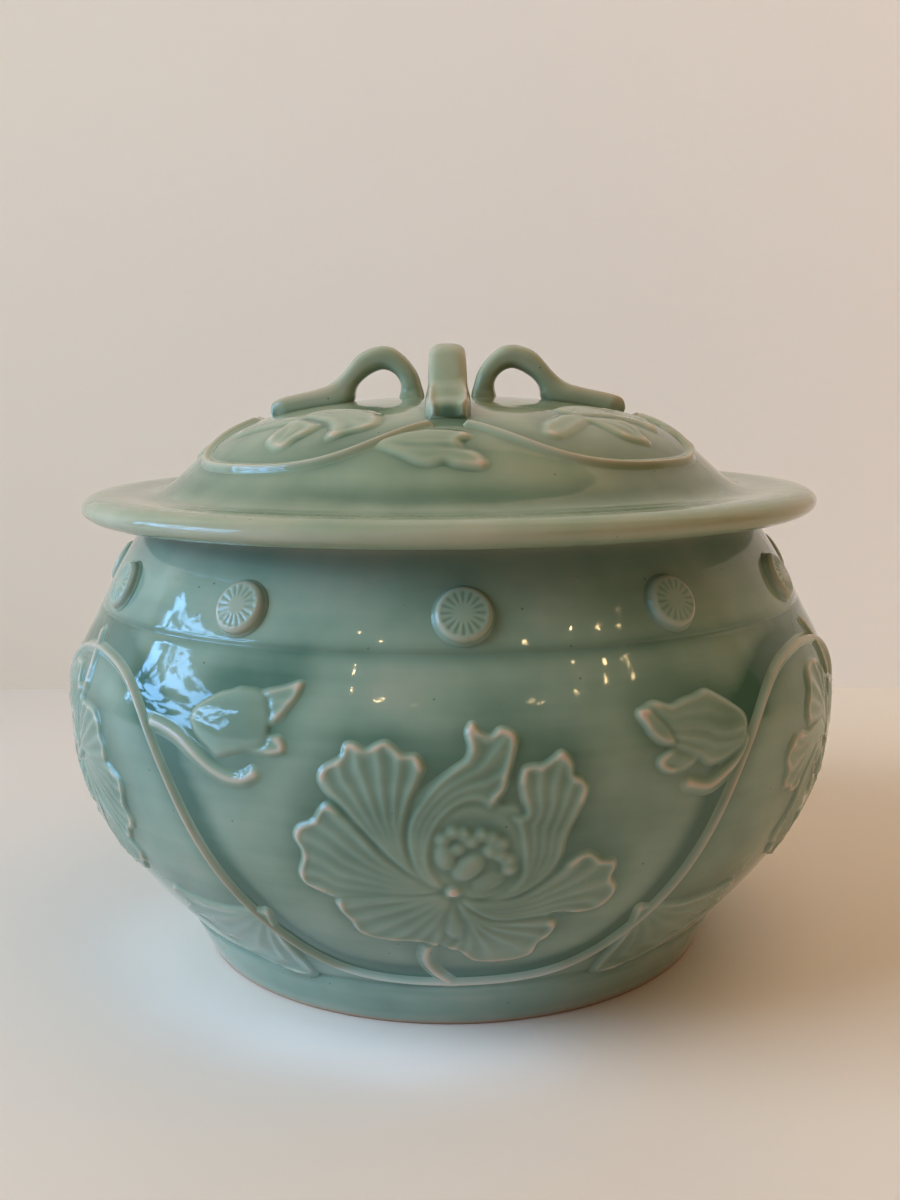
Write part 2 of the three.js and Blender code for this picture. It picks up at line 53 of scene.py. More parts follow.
def heading(angle):
    return point(math.cos(math.radians(angle)), math.sin(math.radians(angle)))


def bezier(corners, steps):
    corners = np.array(corners, float)
    t = np.linspace(0, 1, steps + 1)[:, None]
    degree = len(corners) - 1
    shares = [math.comb(degree, i) * t**i * (1 - t) ** (degree - i) for i in range(degree + 1)]
    return sum(share * corner for share, corner in zip(shares, corners))


def smoothStep(x):
    x = np.clip(x, 0, 1)
    return x * x * (3 - 2 * x)


def bump(x, width, power=2):
    return np.exp(-((x / width) ** power))


def wrapped(angle):
    # The same turn, within half a turn either way
    return np.angle(np.exp(1j * angle))


def spotAt(azimuth, radius, height):
    turn = math.radians(azimuth)
    return radius * math.sin(turn), -radius * math.cos(turn), height


def normalsOf(outline):
    along = np.gradient(outline, axis=0)
    along /= np.linalg.norm(along, axis=1)[:, None]
    return np.column_stack([along[:, 1], -along[:, 0]])


def smoothLine(points, perSpan=8, closed=False):
    points = np.array(points, float)
    count = len(points)
    spans = count if closed else count - 1
    t = np.linspace(0, 1, perSpan, endpoint=False)[:, None]
    parts = []
    for i in range(spans):
        if closed:
            a, b, c, d = (points[(i + k) % count] for k in (-1, 0, 1, 2))
        else:
            a, b, c, d = (points[min(max(i + k, 0), count - 1)] for k in (-1, 0, 1, 2))
        square, cube = 2 * a - 5 * b + 4 * c - d, 3 * b - a - 3 * c + d
        parts.append(0.5 * (2 * b + (c - a) * t + square * t**2 + cube * t**3))
    if not closed:
        parts.append(points[-1:])
    return np.vstack(parts)


# A chart lays flat shapes on a turned surface: a place is an azimuth and a length along the outline.

class Chart:
    def __init__(self, outline):
        keep = np.r_[True, np.linalg.norm(np.diff(outline, axis=0), axis=1) > 1e-6]
        self.outline = outline[keep]
        steps = np.linalg.norm(np.diff(self.outline, axis=0), axis=1)
        self.lengths = np.r_[0, np.cumsum(steps)]
        self.facing = normalsOf(self.outline)

    def radius(self, length):
        return np.interp(length, self.lengths, self.outline[:, 0])

    def height(self, length):
        return np.interp(length, self.lengths, self.outline[:, 1])

    def lengthWhere(self, axis, value):
        values = self.outline[:, axis]
        order = np.argsort(values)
        return np.interp(value, values[order], self.lengths[order])

    def place(self, azimuth, length, off=0.0):
        facing = [np.interp(length, self.lengths, self.facing[:, k]) for k in (0, 1)]
        r = self.radius(length) + facing[0] * off
        z = self.height(length) + facing[1] * off
        return np.stack([r * np.sin(azimuth), -r * np.cos(azimuth), z], axis=-1)


# Blender helpers

def linear(hexColour):
    values = [int(hexColour[i : i + 2], 16) / 255 for i in (1, 3, 5)]
    return [v / 12.92 if v <= 0.04045 else ((v + 0.055) / 1.055) ** 2.4 for v in values] + [1.0]


def addNode(tree, kind, inputs=None, links=None, **settings):
    node = tree.nodes.new(kind)
    for name, value in settings.items():
        setattr(node, name, value)
    for name, value in (inputs or {}).items():
        node.inputs[name].default_value = value
    for name, source in (links or {}).items():
        tree.links.new(source, node.inputs[name])
    return node


def addObject(name, data):
    result = bpy.data.objects.new(name, data)
    bpy.context.scene.collection.objects.link(result)
    return result


def addMesh(name, points, faces=(), edges=(), material=None, smooth=True):
    mesh = bpy.data.meshes.new(name)
    mesh.from_pydata((np.asarray(points, float) * mm).tolist(), list(edges), list(faces))
    mesh.validate()
    mesh.polygons.foreach_set("use_smooth", np.full(len(mesh.polygons), smooth))
    if material:
        mesh.materials.append(material)
    return addObject(name, mesh)


def gridFaces(count, corners, closed=False):
    # Quads between rings of points, and from the last ring back to the first where they make a loop
    rows = np.arange(count if closed else count - 1)
    a = (rows * corners)[:, None] + np.arange(corners)
    b = ((rows + 1) % count * corners)[:, None] + np.arange(corners)
    return np.stack([a, np.roll(a, -1, axis=1), np.roll(b, -1, axis=1), b], axis=-1).reshape(-1, 4).tolist()


def setThinness(piece, values):
    layer = piece.data.attributes.new("thinness", "FLOAT", "POINT")
    layer.data.foreach_set("value", np.clip(values, 0, 1).astype(np.float32))


def pointsOf(piece):
    flat = np.zeros(len(piece.data.vertices) * 3, np.float32)
    piece.data.vertices.foreach_get("co", flat)
    return flat.reshape(-1, 3).astype(float) / mm


def outwards(piece):
    # Turns the faces of a closed mesh outwards: its signed volume has to be positive.
    mesh, points = piece.data, pointsOf(piece)
    mesh.calc_loop_triangles()
    corners = np.zeros(len(mesh.loop_triangles) * 3, np.int32)
    mesh.loop_triangles.foreach_get("vertices", corners)
    a, b, c = (points[corners.reshape(-1, 3)[:, k]] for k in range(3))
    if np.einsum("ij,ij->i", a, np.cross(b, c)).sum() < 0:
        mesh.flip_normals()


def closeUp(piece):
    # The faces of a closed mesh are made to agree and then turned outwards.
    work = bmesh.new()
    work.from_mesh(piece.data)
    bmesh.ops.recalc_face_normals(work, faces=work.faces)
    work.to_mesh(piece.data)
    work.free()
    outwards(piece)


def plainMesh(piece, name):
    # The evaluated result becomes a plain mesh, and the piece goes with its modifiers.
    bpy.context.view_layer.update()
    depsgraph = bpy.context.evaluated_depsgraph_get()
    mesh = bpy.data.meshes.new_from_object(piece.evaluated_get(depsgraph))
    mesh.name = name
    mesh.polygons.foreach_set("use_smooth", np.ones(len(mesh.polygons), bool))
    bpy.data.objects.remove(piece)
    return addObject(name, mesh)


def finishPiece(piece, body, nodes):
    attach(piece, body)
    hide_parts(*nodes)
    print("made", piece.name, len(piece.data.polygons), "faces")


# Materials. Celadon is a thick, bubbly, iron-green glaze over white porcelain: it gathers dark in hollows
# and runs thin and pale over edges, and it keeps a hard gloss. Its four colours run from the thickest glaze
# to the thinnest. The specks' radius and fade are shares of their spacing.

glaze = {
    "pooled": "#3f6354", "body": "#809887", "thin": "#a2a896", "edge": "#c0b09e",
    "pooledAt": 0.12, "bodyAt": 0.5, "thinAt": 0.76, "roughness": 0.06, "ior": 1.5,
    "bandSpacing": 6.0, "bandStretch": 0.06, "bandTone": 0.2, "mottleSize": 26.0, "mottleTone": 0.5,
    "waveSize": 9.0, "waveHeight": 0.15, "ringSpacing": 2.6, "ringHeight": 0.008, "pitSize": 1.6,
    "pitHeight": 0.009, "speckSpacing": 8.0, "speckRadius": 0.02, "speckFade": 0.05, "speckTone": 0.45,
}
# The lid's glaze is warmer and more olive than the jar's: partly painted light, standing in for warm light
# from above on the lid.
lidTintAndWarmLight = {"pooled": "#4c6753", "body": "#89987e", "thin": "#a6a68e", "edge": "#bcae98", "roughness": 0.07}
bareClay = {"colour": "#b8a08a", "dark": "#94795f", "grit": 0.5, "gritHeight": 0.03, "roughness": 0.75}


def newMaterial(name):
    material = bpy.data.materials.new(name)
    material.use_nodes = True
    tree = material.node_tree
    place = addNode(tree, "ShaderNodeTexCoord").outputs["Object"]
    return material, tree, tree.nodes["Principled BSDF"], place


def glazeMaterial(name, tint):
    values = {**glaze, **tint}
    material, tree, shader, place = newMaterial(name)
    stretch = {"Scale": (values["bandStretch"], values["bandStretch"], 1.0)}
    flat = addNode(tree, "ShaderNodeMapping", stretch, {"Vector": place}).outputs["Vector"]
    # Throwing lines and clouds: the glaze's thickness changes in flat rings and in slow mottles.
    tone = addNode(tree, "ShaderNodeAttribute", attribute_name="thinness").outputs["Fac"]
    for vector, size, detail, amount in ((flat, values["bandSpacing"], 4.0, values["bandTone"]),
                                         (place, values["mottleSize"], 3.0, values["mottleTone"])):
        noise = addNode(tree, "ShaderNodeTexNoise", {"Scale": 1 / (size * mm), "Detail": detail},
                        {"Vector": vector})
        uneven = addNode(tree, "ShaderNodeMath", {1: amount, 2: -amount / 2}, {0: noise.outputs["Fac"]},
                         operation="MULTIPLY_ADD")
        added = addNode(tree, "ShaderNodeMath", None, {0: tone, 1: uneven.outputs[0]}, operation="ADD")
        tone = added.outputs[0]
    ramp = addNode(tree, "ShaderNodeValToRGB", None, {"Fac": tone})
    stops = ramp.color_ramp.elements
    stops[0].position, stops[0].color = values["pooledAt"], linear(values["pooled"])
    stops[1].color = linear(values["edge"])
    for key in ("body", "thin"):
        stops.new(values[key + "At"]).color = linear(values[key])
    # A few iron specks show dark through the glaze.
    near = addNode(tree, "ShaderNodeTexVoronoi", {"Scale": 1 / (values["speckSpacing"] * mm)},
                   {"Vector": place})
    clean = addNode(tree, "ShaderNodeMapRange",
                    {"From Min": values["speckRadius"], "From Max": values["speckFade"],
                     "To Min": values["speckTone"], "To Max": 1.0}, {"Value": near.outputs["Distance"]})
    glazed = addNode(tree, "ShaderNodeVectorMath", None,
                     {0: ramp.outputs["Color"], 1: clean.outputs["Result"]}, operation="MULTIPLY")
    tree.links.new(glazed.outputs["Vector"], shader.inputs["Base Color"])
    # The glaze's skin is never quite level: slow waves, throwing rings and fine pin pits break up a
    # reflection.
    below = {}
    for vector, size, detail, height in ((place, values["waveSize"], 1.5, values["waveHeight"]),
                                         (flat, values["ringSpacing"], 2.0, values["ringHeight"]),
                                         (place, values["pitSize"], 2.0, values["pitHeight"])):
        noise = addNode(tree, "ShaderNodeTexNoise", {"Scale": 1 / (size * mm), "Detail": detail},
                        {"Vector": vector})
        skin = addNode(tree, "ShaderNodeBump", {"Strength": 1.0, "Distance": height * mm},
                       {"Height": noise.outputs["Fac"], **below})
        below = {"Normal": skin.outputs["Normal"]}
    tree.links.new(skin.outputs["Normal"], shader.inputs["Normal"])
    shader.inputs["Roughness"].default_value = values["roughness"]
    shader.inputs["IOR"].default_value = values["ior"]
    return material


def clayMaterial(name):
    # Unglazed porcelain, wiped bare where the pieces stood in the kiln: dull, warm and sandy
    material, tree, shader, place = newMaterial(name)
    grit = addNode(tree, "ShaderNodeTexNoise", {"Scale": 1 / (bareClay["grit"] * mm), "Detail": 3.0},
                   {"Vector": place})
    ramp = addNode(tree, "ShaderNodeValToRGB", None, {"Fac": grit.outputs["Fac"]})
    for stop, key in zip(ramp.color_ramp.elements, ("dark", "colour")):
        stop.color = linear(bareClay[key])
    tree.links.new(ramp.outputs["Color"], shader.inputs["Base Color"])
    rough = addNode(tree, "ShaderNodeBump", {"Strength": 1.0, "Distance": bareClay["gritHeight"] * mm},
                    {"Height": grit.outputs["Fac"]})
    tree.links.new(rough.outputs["Normal"], shader.inputs["Normal"])
    shader.inputs["Roughness"].default_value = bareClay["roughness"]
    return material


jarGlaze = glazeMaterial("celadon glaze, jar", {})
lidGlaze = glazeMaterial("celadon glaze, lid", lidTintAndWarmLight)
clay = clayMaterial("bare fired clay")


# Camera: a little above the lid, about 40 cm away

view = {"distance": 402, "height": 169.3, "pitch": 9.46, "roll": -0.62, "focalPixels": 1300,
        "frameHeight": 1200, "sensor": 36}
cameraData = bpy.data.cameras.new("camera")
cameraData.sensor_width = view["sensor"]
cameraData.lens = view["focalPixels"] / view["frameHeight"] * view["sensor"]
cameraData.clip_start = 0.01
camera = addObject("camera", cameraData)
camera.matrix_world = Matrix.Translation((0, -view["distance"] * mm, view["height"] * mm)) \
    @ Matrix.Rotation(math.radians(90 - view["pitch"]), 4, "X") \
    @ Matrix.Rotation(math.radians(view["roll"]), 4, "Z")
bpy.context.scene.camera = camera
bpy.context.scene.view_settings.view_transform = "Standard"


# Floor, wall and light. The floor and wall colours are darker at the left, where the window lights them most,
# and
# lighter at the right: painted light that evens out how bright they look. Each has a left and a right colour.

stage = {
    "floor": ("#cec7be", "#f2eada"), "wall": ("#dac8af", "#fffaf0"), "floorRoughness": 0.5,
    "wallRoughness": 0.8, "fade": 320, "wallBehind": 312, "wallTurn": 2.2, "reach": 1600, "wallTop": 1500,
}


def stageMaterial(name, surface, openBehind=False):
    material, tree, shader, place = newMaterial(name)
    across = addNode(tree, "ShaderNodeSeparateXYZ", None, {"Vector": place})
    fade = stage["fade"] * mm
    share = addNode(tree, "ShaderNodeMapRange", {"From Min": -fade, "From Max": fade},
                    {"Value": across.outputs["X"]})
    # Painted light: the colour runs lighter from left to right to even out the window's light.
    ramp = addNode(tree, "ShaderNodeValToRGB", None, {"Fac": share.outputs["Result"]})
    for end, colour in zip(ramp.color_ramp.elements, stage[surface]):
        end.color = linear(colour)
    tree.links.new(ramp.outputs["Color"], shader.inputs["Base Color"])
    shader.inputs["Roughness"].default_value = stage[surface + "Roughness"]
    if openBehind:
        # The wall can be looked through from its back.
        backs = addNode(tree, "ShaderNodeNewGeometry").outputs["Backfacing"]
        clear = addNode(tree, "ShaderNodeBsdfTransparent").outputs[0]
        either = addNode(tree, "ShaderNodeMixShader", None, {0: backs, 1: shader.outputs[0], 2: clear})
        tree.links.new(either.outputs[0], tree.nodes["Material Output"].inputs["Surface"])
    return material


# The wall runs a little towards the camera at its right.
reach, wallTop = stage["reach"], stage["wallTop"]
turnIn = reach * math.tan(math.radians(stage["wallTurn"]))
backLeft, backRight = stage["wallBehind"] + turnIn, stage["wallBehind"] - turnIn
floor = addMesh("floor", [(-reach, -reach, 0), (reach, -reach, 0), (reach, backRight, 0),
                          (-reach, backLeft, 0)], [(0, 1, 2, 3)],
                material=stageMaterial("painted board", "floor"), smooth=False)
wall = addMesh("wall", [(-reach, backLeft, 0), (reach, backRight, 0), (reach, backRight, wallTop),
                        (-reach, backLeft, wallTop)], [(0, 1, 2, 3)],
               material=stageMaterial("painted plaster", "wall", openBehind=True), smooth=False)

# A window at the left gives cool light, and a warm room fills in from above and from the right.
lamps = [
    {"name": "window", "at": (-1024, -142, 345), "aim": (0, 0, 100), "size": (768, 400), "colour": "#8cc4ff",
     "power": 1.55, "shines": True, "panes": True},
    {"name": "sky", "at": (-1040, -430, 900), "aim": (0, 0, 60), "size": (900, 900), "colour": "#e2e8ee",
     "power": 16.5},
    {"name": "ceiling", "at": (560, -260, 1250), "aim": (60, 0, 60), "size": (1100, 1000),
     "colour": "#ffd2a6", "power": 6.0},
    {"name": "room", "at": (900, -900, 500), "aim": (0, 0, 80), "size": (900, 700), "colour": "#ffb070",
     "power": 0.6},
]
# Leaves outside the window break its light into patches. A stop has its place and its brightness.
panes = {"scale": 6.0, "detail": 8.0, "distortion": 0.8, "stops": ((0.48, 0.05), (0.5, 8.0))}
roomGlow = {"left": "#d8e0e4", "middle": "#c8c0b4", "right": "#c89c68", "strength": 0.17}


def addLamp(lamp):
    light = bpy.data.lights.new(lamp["name"], "AREA")
    light.shape = "RECTANGLE"
    light.size, light.size_y = (side * mm for side in lamp["size"])
    light.color = linear(lamp["colour"])[:3]
    light.energy = lamp["power"]
    holder = addObject(lamp["name"], light)
    towards = (Vector(lamp["aim"]) - Vector(lamp["at"])) * mm
    turn = towards.to_track_quat("-Z", "Y").to_matrix().to_4x4()
    holder.matrix_world = Matrix.Translation(Vector(lamp["at"]) * mm) @ turn
    holder.visible_glossy = lamp.get("shines", False)
    if lamp.get("panes"):
        light.use_nodes = True
        tree = light.node_tree
        spot = addNode(tree, "ShaderNodeNewGeometry").outputs["Parametric"]
        patches = addNode(tree, "ShaderNodeTexNoise", {"Scale": panes["scale"], "Detail": panes["detail"],
                                                       "Distortion": panes["distortion"]}, {"Vector": spot})
        ramp = addNode(tree, "ShaderNodeValToRGB", None, {"Fac": patches.outputs["Fac"]})
        for stop, (position, bright) in zip(ramp.color_ramp.elements, panes["stops"]):
            stop.position, stop.color = position, (bright, bright, bright, 1)
        tree.links.new(ramp.outputs["Color"], tree.nodes["Emission"].inputs["Color"])


for lamp in lamps:
    addLamp(lamp)
# Small lamps in the ceiling of the room make warm glints. Each is placed by its azimuth and how high it
# stands.
sparks = {"places": ((-31, 41), (-22, 40), (-11, 39), (24, 39), (27, 37.5), (40, 39), (50, 38), (57, 36.5),
                     (60, 39), (72, 38)), "away": 1200, "aim": (0, 0, 100), "size": (7, 7), "power": 0.034,
          "colour": "#ffdca0", "shines": True}
for i, (azimuth, rise) in enumerate(sparks["places"]):
    out, up = (sparks["away"] * part(math.radians(rise)) for part in (math.cos, math.sin))
    addLamp({**sparks, "name": f"ceiling_spot_{i + 1}", "at": spotAt(azimuth, out, up)})
# The glaze throws some window light down on the floor beside the foot, where its low left side faces the
# window.
thrown = {"azimuths": (-84, -62, -40, -18, 4), "powers": (0.001, 0.0013, 0.0018, 0.0024, 0.0019),
          "radius": 97, "height": 20, "aimRadius": 93, "size": (44, 8), "colour": "#acccfa"}
for i, (azimuth, power) in enumerate(zip(thrown["azimuths"], thrown["powers"])):
    addLamp({**thrown, "name": f"thrown_light_{i + 1}", "power": power,
             "at": spotAt(azimuth, thrown["radius"], thrown["height"]),
             "aim": spotAt(azimuth, thrown["aimRadius"], 0)})
world = bpy.data.worlds.new("room")
world.use_nodes = True
worldTree = world.node_tree
direction = addNode(worldTree, "ShaderNodeTexCoord").outputs["Generated"]
sides = addNode(worldTree, "ShaderNodeSeparateXYZ", None, {"Vector": direction})
across = addNode(worldTree, "ShaderNodeMapRange", {"From Min": -1.0, "From Max": 1.0},
                 {"Value": sides.outputs["X"]})
glow = addNode(worldTree, "ShaderNodeValToRGB", None, {"Fac": across.outputs["Result"]})
glow.color_ramp.elements[0].color = linear(roomGlow["left"])
glow.color_ramp.elements[1].color = linear(roomGlow["right"])
glow.color_ramp.elements.new(0.5).color = linear(roomGlow["middle"])
backdrop = worldTree.nodes["Background"]
worldTree.links.new(glow.outputs["Color"], backdrop.inputs["Color"])
backdrop.inputs["Strength"].default_value = roomGlow["strength"]
bpy.context.scene.world = world
print("camera, stage and lights made")


# Turned pieces. A half outline is spun about the axis with the Screw modifier.

def turned(name, outline, segments, materials, bareAt=None):
    count = len(outline)
    closed = abs(outline[0][0]) > 1e-6
    edges = [(i, i + 1) for i in range(count - 1)] + ([(count - 1, 0)] if closed else [])
    piece = addMesh(name + "_outline", [(0, -r, z) for r, z in outline], edges=edges)
    spin = piece.modifiers.new("spin", "SCREW")
    spin.axis = "Z"
    spin.steps = spin.render_steps = segments
    spin.use_merge_vertices = True
    spin.merge_threshold = 1e-5
    result = plainMesh(piece, name)
    for material in materials:
        result.data.materials.append(material)
    outwards(result)
    if bareAt is not None:
        middles = np.zeros(len(result.data.polygons) * 3, np.float32)
        result.data.polygons.foreach_get("center", middles)
        middles = middles.reshape(-1, 3) / mm
        bare = bareAt(np.hypot(middles[:, 0], middles[:, 1]), middles[:, 2])
        result.data.polygons.foreach_set("material_index", bare.astype(np.int32))
    return result


# A glaze line is a ring, given by its radius and height, how far it reaches and how much thinner the glaze
# is there. A negative amount darkens the ring; on the lid this is partly pooled glaze and partly painted
# shade.
jar = {
    "footRadius": 78, "footRound": 1.2, "footRingWidth": 8, "footInnerRound": (0.6, 0.7), "footRecess": 3.5,
    "recessRadius": 60, "recessCorner": (66, 0.3), "footBandHeight": 13.4, "footBandRadius": 84,
    "footBandSoft": (0.15, 0.4), "grooveWidth": 1.6, "grooveDepth": 0.26, "lowGrooveDraw": (1.5, 2.2),
    "lowGrooveSoft": 0.6, "highGrooveDraw": (1.7, 1.4), "highGrooveSoft": 0.3, "bellyRadius": 115,
    "bellyHeight": 78, "bowlSlope": 49.5, "bowlFullness": 30, "bellyRoundBelow": 28, "bellyRoundAbove": 13,
    "shoulderHeight": 106.6, "shoulderRadius": 105.6, "shoulderSlope": 63.4, "shoulderFullness": 10,
    "neckFullness": 1.2, "mouthRadius": 92, "height": 131, "wall": 6.5, "rimRound": 1.5, "lipFlatness": 0.7,
    "floorThickness": 6, "floorRadius": 66, "bowlCorner": 12, "coveSoft": 4, "segments": 480, "bareFoot": 1.6,
    "glazeAndShadeLines": [((83.8, 14.2), 1.8, -0.1), ((104.6, 106.6), 2.2, -0.16), ((92, 130.5), 2.5, 0.25),
                   ((78, 2.2), 1.6, 0.15)],
}
footInside = jar["footRadius"] - jar["footRingWidth"]


def jarOutside():
    groove = jar["grooveWidth"] / 2
    band = point(jar["footBandRadius"], jar["footBandHeight"])
    bowlStart = band + (groove, 2 * groove)
    shoulder = point(jar["shoulderRadius"], jar["shoulderHeight"] - groove)
    neckStart = point(jar["shoulderRadius"] - groove, jar["shoulderHeight"] + groove)
    mouth = point(jar["mouthRadius"], jar["height"] - jar["rimRound"])
    rise = (mouth - neckStart) / np.linalg.norm(mouth - neckStart)
    bowl = bezier([bowlStart, bowlStart + heading(jar["bowlSlope"]) * jar["bowlFullness"],
                   point(jar["bellyRadius"], jar["bellyHeight"] - jar["bellyRoundBelow"]),
                   point(jar["bellyRadius"], jar["bellyHeight"])], 56)
    upper = bezier([point(jar["bellyRadius"], jar["bellyHeight"]),
                    point(jar["bellyRadius"], jar["bellyHeight"] + jar["bellyRoundAbove"]),
                    shoulder + heading(-jar["shoulderSlope"]) * jar["shoulderFullness"], shoulder], 22)
    neckMiddle = (neckStart + mouth) / 2 + point(rise[1], -rise[0]) * jar["neckFullness"]
    neck = bezier([neckStart, neckMiddle, mouth], 20)
    return band, bowl, upper, neck


def jarOutline():
    band, bowl, upper, neck = jarOutside()
    groove, deep, height = jar["grooveWidth"] / 2, jar["grooveDepth"], jar["shoulderHeight"]
    corner = np.radians(np.linspace(-90, 0, 5))
    foot = point(jar["footRadius"] - jar["footRound"], jar["footRound"]) \
        + jar["footRound"] * np.column_stack([np.cos(corner), np.sin(corner)])
    side = np.linspace(foot[-1], band - jar["footBandSoft"], 9)[1:]
    draw, soft = jar["lowGrooveDraw"], groove * jar["lowGrooveSoft"]
    lowGroove = bezier([band, band + (-deep * draw[0], soft), bowl[0] + (-deep * draw[1], -soft), bowl[0]], 6)
    draw, soft = jar["highGrooveDraw"], groove * jar["highGrooveSoft"]
    highGroove = bezier([upper[-1], (upper[-1][0] - deep * draw[0], height - soft),
                         (neck[0][0] - deep * draw[1], height + soft), neck[0]], 6)
    outside = np.vstack([foot, side, lowGroove, bowl[1:], upper[1:], highGroove[1:-1], neck])
    rim = np.radians(np.linspace(0, 180, 9))
    middle = jar["mouthRadius"] - jar["wall"] / 2
    lipRise = jar["rimRound"] * np.sin(rim) ** jar["lipFlatness"]
    lip = np.column_stack([middle + jar["wall"] / 2 * np.cos(rim), jar["height"] - jar["rimRound"] + lipRise])
    under = np.vstack([bowl, upper[1:], neck[1:-1]])
    inner = (under - normalsOf(under) * jar["wall"])[::-1][::2]
    level = jar["footRecess"] + jar["floorThickness"]
    inner = inner[inner[:, 1] > level + jar["bowlCorner"]]
    edge, soft = jar["floorRadius"], jar["coveSoft"]
    cove = bezier([inner[-1], (edge + jar["bowlCorner"], level + soft), (edge + soft / 2, level),
                   (edge - soft, level)], 10)
    (cornerRadius, drop), (inset, rise) = jar["recessCorner"], jar["footInnerRound"]
    recess = [(0, jar["footRecess"]), (jar["recessRadius"], jar["footRecess"]),
              (cornerRadius, jar["footRecess"] - drop),
              (footInside - inset, rise), (footInside + inset, 0)]
    floorLine = [(r, level) for r in (48, 32, 16, 0)]
    return np.vstack([recess, outside, lip[1:], inner[1:], cove[1:], floorLine])


band, bowlCurve, upperCurve, neckCurve = jarOutside()
# The chart starts 3 mm under the bowl, so that low leaves can reach down to the foot's groove.
jarChart = Chart(np.vstack([[band - (0, 3)], bowlCurve, upperCurve[1:], neckCurve]))
jarBody = turned("jar_wall", jarOutline(), jar["segments"], [jarGlaze, clay],
                 lambda r, z: (z < jar["bareFoot"]) & (r > footInside - 2))
print("jar turned:", len(jarBody.data.polygons), "faces")

# The seat's two points are given by how far they lie inside the ring and above the underside.
lid = {
    "gap": 0.3, "brimRadius": 109.6, "brimThickness": 7.3, "brimRound": 6, "domeFootRadius": 86,
    "domeFootRise": 0.8, "domeShoulderRadius": 64, "domeRise": 26.9, "domeCrownRise": 9.2,
    "domeCrownReach": 30, "domeFootSlope": 0.545, "domeShoulderSlope": 0.46, "brimCrownReach": 5.6,
    "brimCrownRise": 0.6, "moatReach": 5.5, "flankFootReach": 6, "flankTopReach": 10, "crownStartReach": 12,
    "wall": 5.5,
    "seat": ((1.4, 3), (1.25, 0)), "insideGap": 2, "undersideRadii": (84, 92, 98), "ringThickness": 5,
    "ringDepth": 10, "ringClearance": 1.6, "ringSegments": 240, "segments": 480, "bareRise": 0.2,
    # The lid's first two lines darken the dome's foot and the moat: glaze pooled there, and painted shade on
    # the dome's lower flank.
    "glazeAndShadeLines": [((83.5, 142), 4.6, -0.24), ((90.5, 138.2), 3.4, -0.16), ((109.4, 135), 2.2, 0.18)],
}
lidUnderside = jar["height"] + lid["gap"]
brimTop = lidUnderside + lid["brimThickness"]
apex = brimTop + lid["domeRise"]


def lidOutside():
    edge = lid["brimRadius"] - lid["brimRound"]
    middle = (brimTop + lidUnderside) / 2
    turn = np.radians(np.linspace(-90, 90, 25))
    nose = np.column_stack([edge + lid["brimRound"] * np.cos(turn),
                            middle + lid["brimThickness"] / 2 * np.sin(turn)])
    foot = point(lid["domeFootRadius"], brimTop + lid["domeFootRise"])
    shoulder = point(lid["domeShoulderRadius"], apex - lid["domeCrownRise"])
    moat = bezier([(edge, brimTop), (edge - lid["brimCrownReach"], brimTop + lid["brimCrownRise"]),
                   foot + (lid["moatReach"], -lid["moatReach"] * lid["domeFootSlope"]), foot], 30)
    flank = bezier([foot, foot + (-lid["flankFootReach"], lid["flankFootReach"] * lid["domeFootSlope"]),
                    shoulder + (lid["flankTopReach"], -lid["flankTopReach"] * lid["domeShoulderSlope"]),
                    shoulder], 30)
    crown = bezier([shoulder,
                    shoulder + (-lid["crownStartReach"], lid["crownStartReach"] * lid["domeShoulderSlope"]),
                    (lid["domeCrownReach"], apex), (0, apex)], 34)
    return np.vstack([nose, moat[1:], flank[1:], crown[1:]])


lidSkin = lidOutside()
lidChart = Chart(lidSkin)
ringOuter = jar["mouthRadius"] - jar["wall"] - lid["ringClearance"]
ringInner = ringOuter - lid["ringThickness"]


def lidOutline():
    inner = lidSkin - normalsOf(lidSkin) * lid["wall"]
    within = (inner[:, 0] < ringInner - lid["insideGap"]) & (inner[:, 1] > lidUnderside + lid["wall"])
    inner = inner[within][::-2]
    seat = bezier([inner[-1]] + [(ringInner - inset, lidUnderside + rise) for inset, rise in lid["seat"]], 6)
    underside = [(r, lidUnderside) for r in lid["undersideRadii"]]
    return np.vstack([[(0, apex - lid["wall"])], inner[inner[:, 0] > 1], seat[1:], underside, lidSkin])


lidBody = turned("lid_dome", lidOutline(), lid["segments"], [lidGlaze, clay],
                 lambda r, z: (z < lidUnderside + lid["bareRise"])
                 & (r > ringOuter - 1) & (r < jar["mouthRadius"] + 1))
ringTop = lidUnderside - lid["gap"]
ringBottom = ringTop - lid["ringDepth"]
ringMiddle, ringCorner = (ringTop + ringBottom) / 2, lid["ringThickness"] / 4
ringOutline = [(ringInner, ringTop), (ringInner, ringMiddle), (ringInner + 0.1, ringBottom + 0.9),
               (ringInner + 0.8, ringBottom), (ringOuter - ringCorner, ringBottom),
               (ringOuter - 0.35, ringBottom + 0.4), (ringOuter, ringBottom + ringCorner),
               (ringOuter, ringMiddle), (ringOuter, ringTop)]
locatingRing = turned("lid_seat_ring", ringOutline, lid["ringSegments"], [lidGlaze])
print("lid turned:", len(lidBody.data.polygons), "faces")


# Relief. Each shape is a sheet of heights over the wall, on a grid in millimetres about its own middle. Its
# tone is the glaze's thinness: ridges are pale, grooves are dark, and 0.5 is plain glaze.

skins = {"jar": (jarChart, jarGlaze), "lid": (lidChart, lidGlaze)}
reliefSheets = {"jar": [], "lid": []}
relief = {
    "step": 0.4, "sink": 0.07, "under": 0.6, "least": 0.015, "edgeGap": 0.2,
    "soften": {"jar": 0.46, "lid": 0.95}, "toneReach": 1.7, "toneGain": {"jar": 0.42, "lid": 0.9},
    "standTone": -0.08, "grooveGain": 1.6, "ridgeGain": 1.3, "ridgeFrom": 0.18, "ridgeOver": 0.25,
}


